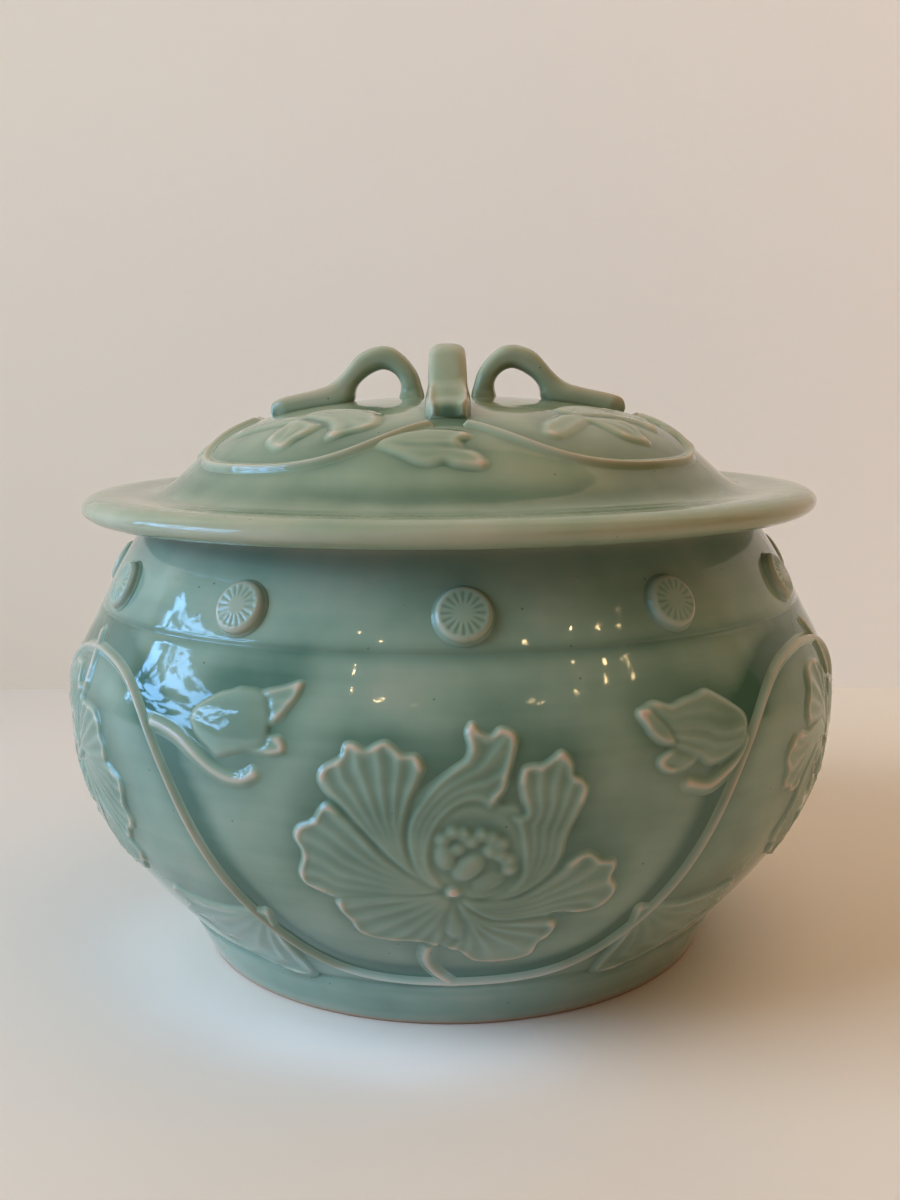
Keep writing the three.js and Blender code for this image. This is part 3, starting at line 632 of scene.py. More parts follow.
def softened(sheet, step, reach):
    count = max(int(math.ceil(3 * reach / step)), 1)
    weights = np.exp(-0.5 * (np.arange(-count, count + 1) * step / reach) ** 2)
    weights /= weights.sum()
    for axis in (0, 1):
        padded = np.pad(sheet, [(count, count) if k == axis else (0, 0) for k in (0, 1)], mode="edge")
        size = sheet.shape[axis]
        sheet = sum(w * np.take(padded, np.arange(k, k + size), axis=axis) for k, w in enumerate(weights))
    return sheet


def lineDistance(across, up, line):
    nearest = np.full(across.shape, 1e9)
    for (ax, ay), (bx, by) in zip(line[:-1], line[1:]):
        ex, ey = bx - ax, by - ay
        share = np.clip(((across - ax) * ex + (up - ay) * ey) / max(ex * ex + ey * ey, 1e-12), 0, 1)
        nearest = np.minimum(nearest, (across - ax - share * ex) ** 2 + (up - ay - share * ey) ** 2)
    return np.sqrt(nearest)


def insideDistance(across, up, points):
    # How far each place is inside the smooth closed line through the points. It is negative outside.
    loop = smoothLine(points, 5, closed=True)
    loop = np.vstack([loop, loop[:1]])
    odd = np.zeros(across.shape, bool)
    for (ax, ay), (bx, by) in zip(loop[:-1], loop[1:]):
        if ay != by:
            odd ^= ((ay > up) != (by > up)) & (across < (bx - ax) * (up - ay) / (by - ay) + ax)
    return lineDistance(across, up, loop) * np.where(odd, 1, -1)


# A petal has a raised rolled rim at its tip, and its veins fan out between its two sides. Its edge starts
# at the root, and "tip" gives the points where the scalloped tip starts and ends. These values hold for a
# petal that doesn't give its own.
plainPetal = {
    "height": 0.72, "lift": 0.0, "dome": 0.0, "domeReach": 6, "rim": 0.45, "rimAt": 0.75, "side": 0.16,
    "sideAt": 0.8, "rimWidth": 0.6, "vein": 0.4, "veinSharpness": 1.9, "veinLevel": 0.4, "fanFrom": 2.2,
    "fanOver": 4.5, "softness": 0.9, "cut": 0.4, "cutReach": 0.8,
}


def layPetal(sheet, across, up, petal):
    petal = {**plainPetal, **petal}
    edge, (start, stop), wide = petal["edge"], petal["tip"], petal["rimWidth"]
    inside = insideDistance(across, up, edge)
    near = inside > -4
    first, second, tip = (np.full(across.shape, 9.0) for _ in range(3))
    sides = edge[: start + 1], edge[stop:] + edge[:1], edge[start : stop + 1]
    for distance, line in zip((first, second, tip), sides):
        distance[near] = lineDistance(across[near], up[near], smoothLine(line, 4))
    between = first / np.maximum(first + second, 1e-6)
    stand = smoothStep((inside + 0.2) / petal["softness"])
    wave = 0.5 - 0.5 * np.cos(math.tau * petal["veins"] * between)
    fan = smoothStep((first + second - petal["fanFrom"]) / petal["fanOver"])
    fan = fan * smoothStep((inside - 0.5) / petal["softness"])
    height = (petal["height"] + petal["lift"]) * stand
    height += petal["vein"] * (wave ** petal["veinSharpness"] - petal["veinLevel"]) * fan
    height += petal["rim"] * bump(tip - petal["rimAt"], wide) * stand
    height += petal["side"] * bump(inside - petal["sideAt"], wide)
    height += petal["dome"] * np.sqrt(np.clip(inside / petal["domeReach"], 0, 1))
    cut = 1 - petal["cut"] * bump(np.maximum(-inside, 0), petal["cutReach"])
    return np.maximum(sheet * np.where(inside > 0, 0.5, cut), height)


def layRidge(sheet, across, up, line, width, height):
    return np.maximum(sheet, height * bump(lineDistance(across, up, smoothLine(line)), width / 2))


def layDome(sheet, across, up, middle, radii, turn, height, floor=0.0):
    c, s = math.cos(math.radians(turn)), math.sin(math.radians(turn))
    x, y = across - middle[0], up - middle[1]
    share = np.clip(1 - ((x * c + y * s) / radii[0]) ** 2 - ((y * c - x * s) / radii[1]) ** 2, 0, 1)
    return np.where(share > 0, np.maximum(sheet, floor + height * np.sqrt(share)), sheet)


def layOn(name, group, azimuth, length, box, makeSheet, nodes, flips=(1, 1)):
    # The sheet is made flat, softened, cut to where it stands off the wall and wrapped on the turned
    # surface. Flips of -1 turn the shape over across, or up and down.
    chart, material = skins[group]
    step = relief["step"]
    left, right = box[:2] if flips[0] > 0 else (-box[1], -box[0])
    low, high = box[2:] if flips[1] > 0 else (-box[3], -box[2])
    across, up = np.meshgrid(np.arange(left, right + step, step), np.arange(low, high + step, step))
    sheet = softened(makeSheet(across * flips[0], up * flips[1]), step, relief["soften"][group])
    fine = sheet - softened(sheet, step, relief["toneReach"])
    ridge = 1 + relief["ridgeGain"] * smoothStep((fine - relief["ridgeFrom"]) / relief["ridgeOver"])
    fine = fine * np.where(fine < 0, relief["grooveGain"], ridge)
    tone = 0.5 + relief["standTone"] * sheet + relief["toneGain"][group] * fine
    stands = (sheet > relief["least"]) & (length + up > relief["edgeGap"])
    cells = stands[:-1, :-1] | stands[1:, :-1] | stands[:-1, 1:] | stands[1:, 1:]
    for _ in range(3):
        # Two cells that touch at one corner would pinch the mesh, so the other two are filled.
        pinch = (cells[:-1, :-1] & cells[1:, 1:] & ~cells[1:, :-1] & ~cells[:-1, 1:]) \
            | (~cells[:-1, :-1] & ~cells[1:, 1:] & cells[1:, :-1] & cells[:-1, 1:])
        if not pinch.any():
            break
        for a, b in ((0, 0), (1, 0), (0, 1), (1, 1)):
            part = cells[a : a + pinch.shape[0], b : b + pinch.shape[1]]
            part |= pinch
    rows, columns = np.nonzero(cells)
    wide = sheet.shape[1]
    corners = rows * wide + columns
    used, index = np.unique(np.column_stack([corners, corners + 1, corners + 1 + wide, corners + wide]),
                            return_inverse=True)
    index = index.reshape(-1, 4)
    lengths = length + up.ravel()[used]
    azimuths = math.radians(azimuth) + across.ravel()[used] / chart.radius(lengths)
    top = chart.place(azimuths, lengths, sheet.ravel()[used] - relief["sink"])
    bottom = chart.place(azimuths, lengths, -relief["under"])
    count = len(used)
    edges = np.vstack([index[:, [k, (k + 1) % 4]] for k in range(4)]).tolist()
    known = set(map(tuple, edges))
    border = np.array([edge for edge in edges if (edge[1], edge[0]) not in known])
    walls = np.column_stack([border[:, 1], border[:, 0], border[:, 0] + count, border[:, 1] + count])
    faces = np.vstack([index, index[:, ::-1] + count, walls]).tolist()
    piece = addMesh(name, np.vstack([top, bottom]), faces, material=material)
    setThinness(piece, np.r_[tone.ravel()[used], np.zeros(count)])
    reliefSheets[group].append((math.radians(azimuth), length, left, low, sheet))
    finishPiece(piece, group, nodes)


peonyShape = {
    "base": [(-27, -3.5), (-20, 9), (-12, 21), (-7, 27), (3, 33), (10.5, 24), (16, 22), (25, 8), (22, 0),
             (24, -10), (19, -18), (8, -24), (-2, -22), (-6, -19.6), (-23, -9)],
    "bowl": [(-3.7, 15.5), (-1.2, 19.3), (4.3, 21.1), (9.8, 19.6), (13.9, 16.2), (16, 10.2), (16.2, 4.5),
             (12, 0.6), (6, -0.4), (0.5, 2.2), (-3.6, 5.5), (-5, 10)],
    "seeds": [(-2.2, 14.8), (0.2, 16.6), (2.7, 16.1), (4.4, 14.4), (6.9, 15.8), (9.3, 14.9), (11.4, 13.4),
              (8.8, 11.6), (11.2, 10.4), (13.1, 8.9), (13.3, 6.4)],
    "seed": (1.9, 1.8),
    "pistils": [((3.6, 7.3), (4.6, 3.0), 46, 1.1), ((-1.8, 10.1), (2.6, 3.7), 12, 1.0),
                ((1.2, 12.2), (1.9, 1.7), 30, 0.85), ((8.0, 2.9), (4.6, 2.5), 30, 0.8)],
    "pistilLines": [[(4.4, 1.1), (7.8, 1.7), (11.2, 4.3)], [(4.4, 2.0), (7.4, 3.3), (11, 5.8)]],
    "wedge": [(-0.2, -2), (1.2, -5), (2.7, -9), (3.6, -13), (3.0, -17.5), (0, -19), (-2.8, -15), (-2.4, -9),
              (-1.3, -5)],
    "stem": [(-6.3, -22), (-7, -27), (-6.2, -32), (-4, -37), (-1, -42)],
    "box": (-44, 46, -45, 48),
    "heights": {"base": 0.45, "wedge": 0.85, "bowlRim": 0.22, "bowlFloor": 0.26, "seed": 0.75,
                "seedFloor": 0.36, "pistilFloor": 0.22, "pistilLine": 0.3, "heart": 0.8, "heartFloor": 0.6,
                "stem": 1.25},
    "stemWidth": 2.7, "heartRadii": (1.7, 1.7), "seedTurn": 40,
    "petals": [
        {"tip": (4, 14), "veins": 6,  # left
         "edge": [(-1.4, 0.7), (-8.5, 4), (-16.1, 10), (-22, 17.2), (-26.6, 21.7), (-29.2, 23.2),
                  (-31.4, 21.4), (-33.2, 18.5), (-37.1, 16.5), (-38.1, 13.5), (-36.4, 10.4), (-36.3, 7.5),
                  (-37.4, 3.5), (-36, 0.2), (-32.1, -1.8), (-28.1, -3.5), (-19.1, -2.6), (-8.6, -1.2)]},
        {"tip": (6, 17), "veins": 6,  # upper left
         "edge": [(-2.4, 1.4), (-6.4, 4.6), (-10.4, 10.8), (-11, 17.6), (-9.4, 24.1), (-7.1, 29.3),
                  (-6.3, 32.4), (-8, 35.1), (-11, 35.3), (-13, 36.8), (-15.2, 38.2), (-18, 37.2),
                  (-19.8, 36.2), (-22.6, 37.5), (-25, 37.1), (-25.8, 34.3), (-30.3, 31.5), (-31.5, 28.8),
                  (-29.8, 25.4), (-26, 22.2), (-22.2, 18.1), (-16.6, 11.8), (-11, 6.1), (-4.6, 1)]},
        {"tip": (9, 20), "veins": 4,  # top
         "edge": [(-1.9, 0.7), (-6, 2.7), (-8.9, 7.1), (-10.3, 12.6), (-10, 18.7), (-7.6, 23.6),
                  (-4.1, 28.3), (-0.1, 31.9), (2.9, 34.1), (3.9, 36.8), (3.2, 40.3), (4.8, 42.7),
                  (6.5, 40.5), (9, 39.4), (11, 41.1), (14, 40.2), (15.2, 38.4), (14.4, 34.5), (13.4, 30.5),
                  (12.4, 26.9), (10.6, 24.3), (9.1, 21.8), (6.8, 23.7), (3.8, 23.8), (0.3, 22),
                  (-3.2, 18.3), (-5.3, 12.7), (-4.9, 7.2), (-2.4, 2.7)]},
        {"tip": (8, 18), "veins": 5,  # upper right
         "edge": [(5.3, -3.1), (11, -3.5), (16.2, -1.7), (20.4, 1.5), (23.5, 5.1), (25.8, 8.7), (26.9, 14),
                  (29.3, 18.8), (31.4, 22.9), (32, 26), (30.5, 28.3), (28.6, 29.5), (28.1, 32.6),
                  (25.7, 35.1), (23.4, 33.7), (21, 32.3), (18.5, 32.3), (16.2, 31.6), (15.4, 28.8),
                  (15.9, 24.6), (17, 20.8), (13.6, 20.2), (15.2, 17.2), (16.2, 12.6), (16.3, 5.1),
                  (13, 0.1), (7.9, -2.5)]},
        {"tip": (3, 11), "veins": 6,  # lower left
         "edge": [(-1.4, -1.1), (-8.6, -1.2), (-19.1, -1.9), (-27.9, -3.6), (-27.5, -7.9), (-25, -11.8),
                  (-23.6, -15.8), (-19.9, -18.3), (-15, -19.2), (-9, -19.3), (-5.8, -20.2), (-3.7, -21.7),
                  (-1.5, -11.9), (-0.6, -5.3)]},
        {"tip": (3, 12), "veins": 6,  # lower right
         "edge": [(1.2, -3), (1.6, -11.1), (0.6, -18.7), (-2.1, -22.2), (1.1, -23.8), (4.4, -28.9),
                  (8.8, -29.9), (15.4, -29.7), (19.8, -27), (21.3, -21.9), (23.9, -18.8), (25.4, -15.1),
                  (24.1, -11.6), (16.5, -10.9), (9.5, -10.2), (4.3, -6.2)]},
        {"tip": (5, 16), "veins": 5,  # right
         "edge": [(1.7, -1.9), (4.3, -6.2), (9.5, -10.2), (16.5, -10.6), (24.6, -9.3), (30.2, -10.1),
                  (34.2, -10), (37.1, -8.6), (39.8, -5.5), (40.4, -2.4), (38.9, 0.8), (39.9, 4.1),
                  (39.2, 6.2), (36, 7), (33.1, 9.3), (30.3, 9.1), (27.7, 7.5), (25.6, 4.9), (21.4, 1.4),
                  (15.2, -2.3), (6.9, -3.2)]},
    ],
}


def peonySheet(size):
    heights = peonyShape["heights"]

    def make(across, up):
        x, y = across / size, up / size
        base, wedge, bowl = (insideDistance(x, y, peonyShape[part]) for part in ("base", "wedge", "bowl"))
        sheet = heights["base"] * smoothStep((base + 0.4) / 1.4)
        for petal in peonyShape["petals"]:
            sheet = layPetal(sheet, x, y, petal)
        raised = heights["wedge"] * smoothStep((wedge + 0.2) / 2.6)
        beside = sheet * (1 - 0.45 * smoothStep(wedge + 0.9))
        sheet = np.where(wedge > -0.9, np.maximum(beside, raised), sheet)
        sheet = sheet + heights["bowlRim"] * bump(bowl + 0.8, 1.0)
        hollow = smoothStep(bowl / 2.2)
        sheet = sheet * (1 - hollow) + heights["bowlFloor"] * hollow
        for i, middle in enumerate(peonyShape["seeds"]):
            sheet = layDome(sheet, x, y, middle, peonyShape["seed"], peonyShape["seedTurn"] * i,
                            heights["seed"], heights["seedFloor"])
        for middle, radii, turn, height in peonyShape["pistils"]:
            sheet = layDome(sheet, x, y, middle, radii, turn, height, heights["pistilFloor"])
        for line in peonyShape["pistilLines"]:
            sheet = sheet - heights["pistilLine"] * bump(lineDistance(x, y, smoothLine(line, 6)), 0.5)
        # The round heart stands in a shallow ring.
        sheet = sheet * (1 - 0.35 * bump(np.hypot(x, y) - 2.6, 0.8))
        sheet = layDome(sheet, x, y, (0, 0), peonyShape["heartRadii"], 0, heights["heart"],
                        heights["heartFloor"])
        return layRidge(sheet, x, y, peonyShape["stem"], peonyShape["stemWidth"], heights["stem"])
    return make


troughs = (("front", 0), ("right", 120), ("left", 240))
peonies = {"troughHeight": 51, "crestHeight": 69, "crestSize": 0.84, "crests": (-64, 66, 180)}
for name, azimuth in troughs:
    layOn("peony_relief_" + name, "jar", azimuth, jarChart.lengthWhere(1, peonies["troughHeight"]),
          peonyShape["box"], peonySheet(1.0), ["peony_" + name])
crestBox = [side * peonies["crestSize"] for side in peonyShape["box"]]
for i, azimuth in enumerate(peonies["crests"]):
    layOn(f"hanging_peony_relief_{i + 1}", "jar", azimuth, jarChart.lengthWhere(1, peonies["crestHeight"]),
          crestBox, peonySheet(peonies["crestSize"]), [f"hanging_peony_{i + 1}"], flips=(-1, -1))

budShape = {
    "box": (-30, 19, -18, 14),
    "petals": [
        {"tip": (4, 8), "veins": 3, "vein": 0.25, "rim": 0.15, "height": 0.85,  # upper tip
         "edge": [(1, 3.5), (0, 7), (5.7, 8.5), (10.7, 9.9), (14.8, 11.4), (16.3, 10.6), (15.3, 6.8),
                  (13.6, 4.2), (11.8, 1.6), (8, -0.5), (2, 0)]},
        {"tip": (4, 7), "veins": 2, "vein": 0.2, "rim": 0.2, "height": 0.8,  # lower tip
         "edge": [(0, -4), (1, -1.5), (7, -1.5), (10.6, -1.8), (12.8, -2), (14.4, -4.3), (13.6, -6),
                  (10.6, -6.8), (7.4, -6.7), (3.7, -6.8), (-0.5, -7.2)]},
        {"tip": (7, 11), "veins": 1, "vein": 0.0, "rim": 0.0, "side": 0.0, "height": 0.5,  # heart
         "dome": 0.95,
         "edge": [(-13.2, -2.2), (-13.9, 0.1), (-12.3, 2.7), (-9.7, 4.6), (-6, 6.7), (-3.4, 7.5),
                  (-0.1, 8.7), (5, 8.3), (8.2, 5.4), (9.4, 1), (9.0, -3.6), (5, -6), (-0.5, -7.6),
                  (-4.5, -8.8), (-7.6, -6.9), (-10.9, -4.6)]},
    ],
    "stem": [(-27.6, -3.4), (-23.2, -3.8), (-18.2, -5.2), (-14.3, -7.2), (-10.4, -9.6), (-6.1, -11.9),
             (-1.7, -13.4), (2.6, -13.4), (6, -11.6)],
}
tripleShape = {
    "box": (-12, 29, -22, 9),
    "petals": [
        {"tip": (3, 6), "veins": 1, "vein": 0.1, "rim": 0.5,  # low lobe
         "edge": [(9, -8.5), (7.5, -11.4), (3.8, -13.1), (0.1, -13.3), (-3, -12), (-3.9, -9.5), (0, -7.2),
                  (5, -6.5)]},
        {"tip": (6, 12), "veins": 5, "vein": 0.24, "rim": 0.2, "height": 0.6, "dome": 0.4,  # heart
         "edge": [(25.9, -5.4), (24, -9.4), (18, -12.4), (12, -13), (8, -10.5), (3, -8), (-1.6, -6.4),
                  (-5, -4.1), (-6.8, -1), (-8.4, 2.3), (-5.9, 3.7), (-2.7, 4.4), (1.5, 2.9), (4.9, 3.9),
                  (8.8, 4.5), (13, 5.3), (17.3, 3), (21.8, 0), (25.1, -2.6)]},
        {"tip": (3, 5), "veins": 1, "vein": 0.05, "rim": 0.3, "lift": 0.35,  # curled tip
         "edge": [(1.4, -6.2), (-1.6, -6.3), (-5, -4), (-6.8, -1), (-8.4, 2.3), (-5, 3), (-2.8, 0.6),
                  (0, -2.6)]},
    ],
    "stem": [(25.2, -8.8), (22.4, -12.6), (18.1, -15.6), (12, -18.2), (5.4, -16.6)],
}


leaves = {"stemWidth": 2.9, "stemHeight": 1.15, "ribWidth": 1.4, "ribHeight": 1.2}


def leafSheet(shape):
    def make(across, up):
        sheet = np.zeros(across.shape)
        for petal in shape["petals"]:
            sheet = layPetal(sheet, across, up, petal)
        for line in shape.get("ribs", ()):
            sheet = layRidge(sheet, across, up, line, leaves["ribWidth"], leaves["ribHeight"])
        if "stem" in shape:
            sheet = layRidge(sheet, across, up, shape["stem"], leaves["stemWidth"], leaves["stemHeight"])
        return sheet
    return make


buds = {"turn": 27, "height": 90}
for name, azimuth in troughs:
    for side, shape, word in ((-1, budShape, "left"), (1, tripleShape, "right")):
        layOn(f"bud_relief_{name}_{word}", "jar", azimuth + side * buds["turn"],
              jarChart.lengthWhere(1, buds["height"]), shape["box"], leafSheet(shape),
              [f"bud_{name}_{word}_side"])

lowLeafShape = {
    "box": (-24, 32, -24, 18),
    "petals": [
        {"tip": (4, 13), "veins": 6, "vein": 0.3, "rim": 0.35,  # blade
         "edge": [(21, 12), (12, 10.5), (4, 9), (-8, 9.5), (-14, 10.5), (-17, 7.5), (-12, 4.5),
                  (-16.5, 1.5), (-17.5, -2), (-13, -5), (-8, -11), (-1, -16.5), (7, -20.2), (14.5, -21),
                  (18.4, -19.2), (19.4, -12), (19, -4), (20, 4)]},
    ],
    "ribs": [[(21, 12), (19, 3), (18.6, -6), (18.4, -13), (17.4, -19)]],
}
lowLeaves = {"turn": 38, "height": 30}
for name, azimuth in troughs:
    for side, word in ((-1, "left"), (1, "right")):
        layOn(f"low_leaf_relief_{name}_{word}", "jar", azimuth + side * lowLeaves["turn"],
              jarChart.lengthWhere(1, lowLeaves["height"]), lowLeafShape["box"], leafSheet(lowLeafShape),
              [f"leaf_{name}_{word}_side"], flips=(-side, 1))


# Vines: a ridge with soft feet that follows a line on the wall. The first dictionary holds for all of them.

ridge = {
    "reach": 1.1, "points": 17, "softness": 0.4, "sink": 0.08, "endSink": 0.2, "endSteps": 3, "under": 0.7,
    "footTone": 0.42, "crownTone": 0.44, "crownWidth": 0.32,
}
vine = {"width": 2.7, "height": 1.5, "waves": 3, "trough": 16.8, "crest": 99.6, "turn": 34, "softness": 10.2}
lidVine = {"crestRadius": 57.6, "troughRadius": 76.6, "start": 3.6, "spreads": (15.5, 11, 15.5, 11),
           "power": 1.6, "width": 3.1, "height": 1.45}


def ridgeOn(name, group, azimuths, lengths, values, nodes, closed=False):
    chart, material = skins[group]
    width, count = values["width"], len(azimuths)
    across = np.linspace(-ridge["reach"], ridge["reach"], ridge["points"]) * width
    rise = values["height"] * bump(across, width * ridge["softness"]) - ridge["sink"]
    r = chart.radius(lengths)
    if closed:
        turnStep = wrapped(np.roll(azimuths, -1) - np.roll(azimuths, 1))
        lengthStep = np.roll(lengths, -1) - np.roll(lengths, 1)
        ends = np.ones(count)
    else:
        turnStep, lengthStep = np.gradient(azimuths), np.gradient(lengths)
        ends = smoothStep(np.minimum(np.arange(count), np.arange(count)[::-1]) / ridge["endSteps"])
    along = np.column_stack([turnStep * r, lengthStep])
    along /= np.linalg.norm(along, axis=1)[:, None]
    az = azimuths[:, None] + along[:, 1:] * across / r[:, None]
    ln = lengths[:, None] - along[:, :1] * across
    top = chart.place(az, ln, rise[None, :] * ends[:, None] - ridge["endSink"] * (1 - ends[:, None]))
    bottom = chart.place(az[:, ::-1], ln[:, ::-1], -ridge["under"])
    rings = np.concatenate([top, bottom], axis=1)
    corners = rings.shape[1]
    faces = gridFaces(count, corners, closed)
    if not closed:
        k = np.arange(corners // 2 - 1)
        ladder = np.column_stack([k, k + 1, corners - 2 - k, corners - 1 - k])
        faces += ladder.tolist() + (ladder + (count - 1) * corners).tolist()
    piece = addMesh(name, rings.reshape(-1, 3), faces, material=material)
    closeUp(piece)
    tone = ridge["footTone"] + ridge["crownTone"] * bump(across, width * ridge["crownWidth"])
    setThinness(piece, np.tile(np.r_[tone, np.zeros(len(across))], count))
    finishPiece(piece, group, nodes)


def vineHeight(azimuths):
    wave = 360 / vine["waves"]
    away = np.abs((azimuths + wave / 2) % wave - wave / 2)
    middle, swing = (vine["crest"] + vine["trough"]) / 2, (vine["crest"] - vine["trough"]) / 2
    return middle + swing * np.tanh((away - vine["turn"]) / vine["softness"])


vineAzimuths = np.arange(0, 360, 0.5)
vineHeights = vineHeight(vineAzimuths)
vineLengths = np.interp(vineHeights, jarChart.outline[:, 1], jarChart.lengths)
ridgeOn("vine_relief", "jar", np.radians(vineAzimuths), vineLengths, vine, ["vine"], closed=True)

lidVinePaths = []
for i in range(4):
    away = np.linspace(lidVine["start"], 90 - lidVine["start"], 150)
    fall = [bump(np.maximum(a - lidVine["start"], 0), lidVine["spreads"][k], lidVine["power"])
            for a, k in ((away, i), (90 - away, (i + 1) % 4))]
    radii = lidVine["troughRadius"] - (lidVine["troughRadius"] - lidVine["crestRadius"]) * (fall[0] + fall[1])
    azimuths, lengths = np.radians(90 * i + away), lidChart.lengthWhere(0, radii)
    lidVinePaths.append((azimuths, lengths))
    ridgeOn(f"lid_vine_relief_{i + 1}", "lid", azimuths, lengths, lidVine, [f"lid_vine_{i + 1}"])

sprayShape = {
    "box": (-30, 30, -18, 20),
    "petals": [
        {"tip": (3, 5), "veins": 2, "vein": 0.2, "rim": 0.3, "height": 0.7,  # long tip
         "edge": [(-2, 6), (-8, 7), (-14, 4), (-20, 0), (-25, -6), (-22, -8), (-15, -5), (-8, -1),
                  (-3, 2)]},
        {"tip": (3, 8), "veins": 3, "vein": 0.3, "rim": 0.5, "height": 0.85,  # small lobe
         "edge": [(1, 3.4), (-4.4, 3.6), (-3.4, -1.4), (-1.9, -8.5), (1.5, -11.3), (6.1, -12.8),
                  (8.5, -11.8), (8.8, -8.5), (10.2, -5.5), (10.6, -1.4), (9.1, 0.6), (6.2, 1.7)]},
        {"tip": (4, 10), "veins": 4, "vein": 0.3, "rim": 0.5, "height": 0.85,  # big lobe
         "edge": [(-3.5, 5.8), (-5.8, 11.5), (-0.6, 15.6), (9, 16), (18.6, 10.9), (24, 5.4), (26.8, 0.7),
                  (25.8, -2.5), (22.7, -4.8), (20.4, -7.9), (17.7, -6), (16.2, -2.5), (12.2, 1.1),
                  (5.7, 4.4)]},
    ],
    "ribs": [[(4, 5.2), (10, 3.6), (15.4, 0.4), (18, -3), (19.6, -6.8)]],
}
lidLeafShape = {
    "box": (-23, 16, -11, 12),
    "petals": [
        {"tip": (7, 11), "veins": 3, "vein": 0.3, "rim": 0.5, "height": 0.85,  # lower lobe
         "edge": [(-19.1, 2.2), (-16.3, -0.3), (-12.6, -2.5), (-9, -5), (-6, -6.1), (-3.5, -5.8),
                  (-1, -4.8), (1.4, -6.2), (6.4, -7.3), (9.6, -7), (9.2, -4.8), (6.7, -1.8), (2, 0),
                  (-8, 2.4)]},
        {"tip": (5, 8), "veins": 3, "vein": 0.3, "rim": 0.5, "height": 0.85,  # upper lobe
         "edge": [(-19.1, 2.7), (-15.5, 5.7), (-10.3, 8.3), (-5.1, 9.5), (0, 9.2), (4.6, 7.5), (5.6, 5.3),
                  (2.4, 3), (4, 0.4), (-4, 1.2), (-12, 1.6)]},
    ],
}
lidSprigs = {"sprayRadius": 59.5, "sprayTurn": 45, "leafRadius": 70}
for i in range(4):
    layOn(f"lid_spray_relief_{i + 1}", "lid", 90 * i + lidSprigs["sprayTurn"],
          lidChart.lengthWhere(0, lidSprigs["sprayRadius"]), sprayShape["box"], leafSheet(sprayShape),
          [f"lid_spray_{i + 1}"])
    layOn(f"lid_leaf_relief_{i + 1}", "lid", 90 * i, lidChart.lengthWhere(0, lidSprigs["leafRadius"]),
          lidLeafShape["box"], leafSheet(lidLeafShape), [f"lid_leaf_{i + 1}"])


# Repeated pieces: a Geometry Nodes tree sets a copy of one piece at each point, turned about the axis by
# the point's azimuth.

def roundTree():
    tree = bpy.data.node_groups.new("set round the axis", "GeometryNodeTree")
    face = tree.interface
    face.new_socket("Geometry", in_out="OUTPUT", socket_type="NodeSocketGeometry")
    face.new_socket("Geometry", in_out="INPUT", socket_type="NodeSocketGeometry")
    pattern = face.new_socket("Pattern", in_out="INPUT", socket_type="NodeSocketObject")
    material = face.new_socket("Material", in_out="INPUT", socket_type="NodeSocketMaterial")
    given = addNode(tree, "NodeGroupInput").outputs
    azimuth = addNode(tree, "GeometryNodeInputNamedAttribute", {"Name": "azimuth"}, data_type="FLOAT")
    turn = addNode(tree, "ShaderNodeCombineXYZ", None, {"Z": azimuth.outputs["Attribute"]})
    shape = addNode(tree, "GeometryNodeObjectInfo", {"As Instance": True}, {"Object": given["Pattern"]})
    placed = addNode(tree, "GeometryNodeInstanceOnPoints", None,
                     {"Points": given["Geometry"], "Instance": shape.outputs["Geometry"],
                      "Rotation": turn.outputs[0]})
    real = addNode(tree, "GeometryNodeRealizeInstances", None, {"Geometry": placed.outputs[0]})
    plain = addNode(tree, "GeometryNodeRemoveAttribute", {"Name": "azimuth"}, {"Geometry": real.outputs[0]})
    dressed = addNode(tree, "GeometryNodeSetMaterial", None,
                      {"Geometry": plain.outputs[0], "Material": given["Material"]})
    addNode(tree, "NodeGroupOutput", None, {"Geometry": dressed.outputs[0]})
    return tree, {"pattern": pattern.identifier, "material": material.identifier}


roundGroup, roundSockets = roundTree()


def repeatedRound(pattern, name, azimuths, material):
    places = addMesh(name + "_places", [(0, 0, 0)] * len(azimuths))
    places.data.attributes.new("azimuth", "FLOAT", "POINT").data.foreach_set("value", np.radians(azimuths))
    modifier = places.modifiers.new("round", "NODES")
    modifier.node_group = roundGroup
    modifier[roundSockets["pattern"]] = pattern
    modifier[roundSockets["material"]] = material
    result = plainMesh(places, name)
    bpy.data.objects.remove(pattern)
    outwards(result)
    return result


# The twelve are set: the front five have their places and the rest share what is left. Radial
# grooves are cut between "grooveFrom" and "grooveTo" of the radius, inside a low bead. A foot point has its
# share of the radius, its height and its tone.
rosette = {
    "count": 12, "front": (-61.7, -30.5, 1.8, 32.6, 64), "height": 115.26, "radius": 6.95, "rise": 2.6,
    "crown": 0.6, "edge": 1.1, "edgeFrom": 0.76, "bead": 0.14, "beadWidth": 0.08, "grooves": 16,
    "grooveDepth": 0.2, "grooveFrom": 0.3, "grooveTo": 0.84, "grooveSharpness": 2.2,
    "rings": 24, "sectors": 96,
    "foot": ((1.012, 0.6, 0.56), (1.03, 0.3, 0.48), (1.07, 0.08, 0.42), (1.11, -0.12, 0.42),
             (1.1, -1.6, 0.42)),
    "tone": 0.6, "edgeTone": 0.14, "grooveTone": -0.2,
}


def rosetteAzimuths():
    first, last = rosette["front"][0], rosette["front"][-1]
    others = rosette["count"] - len(rosette["front"])
    pitch = (360 - (last - first)) / (others + 1)
    return list(rosette["front"]) + [last + pitch * (i + 1) for i in range(others)]


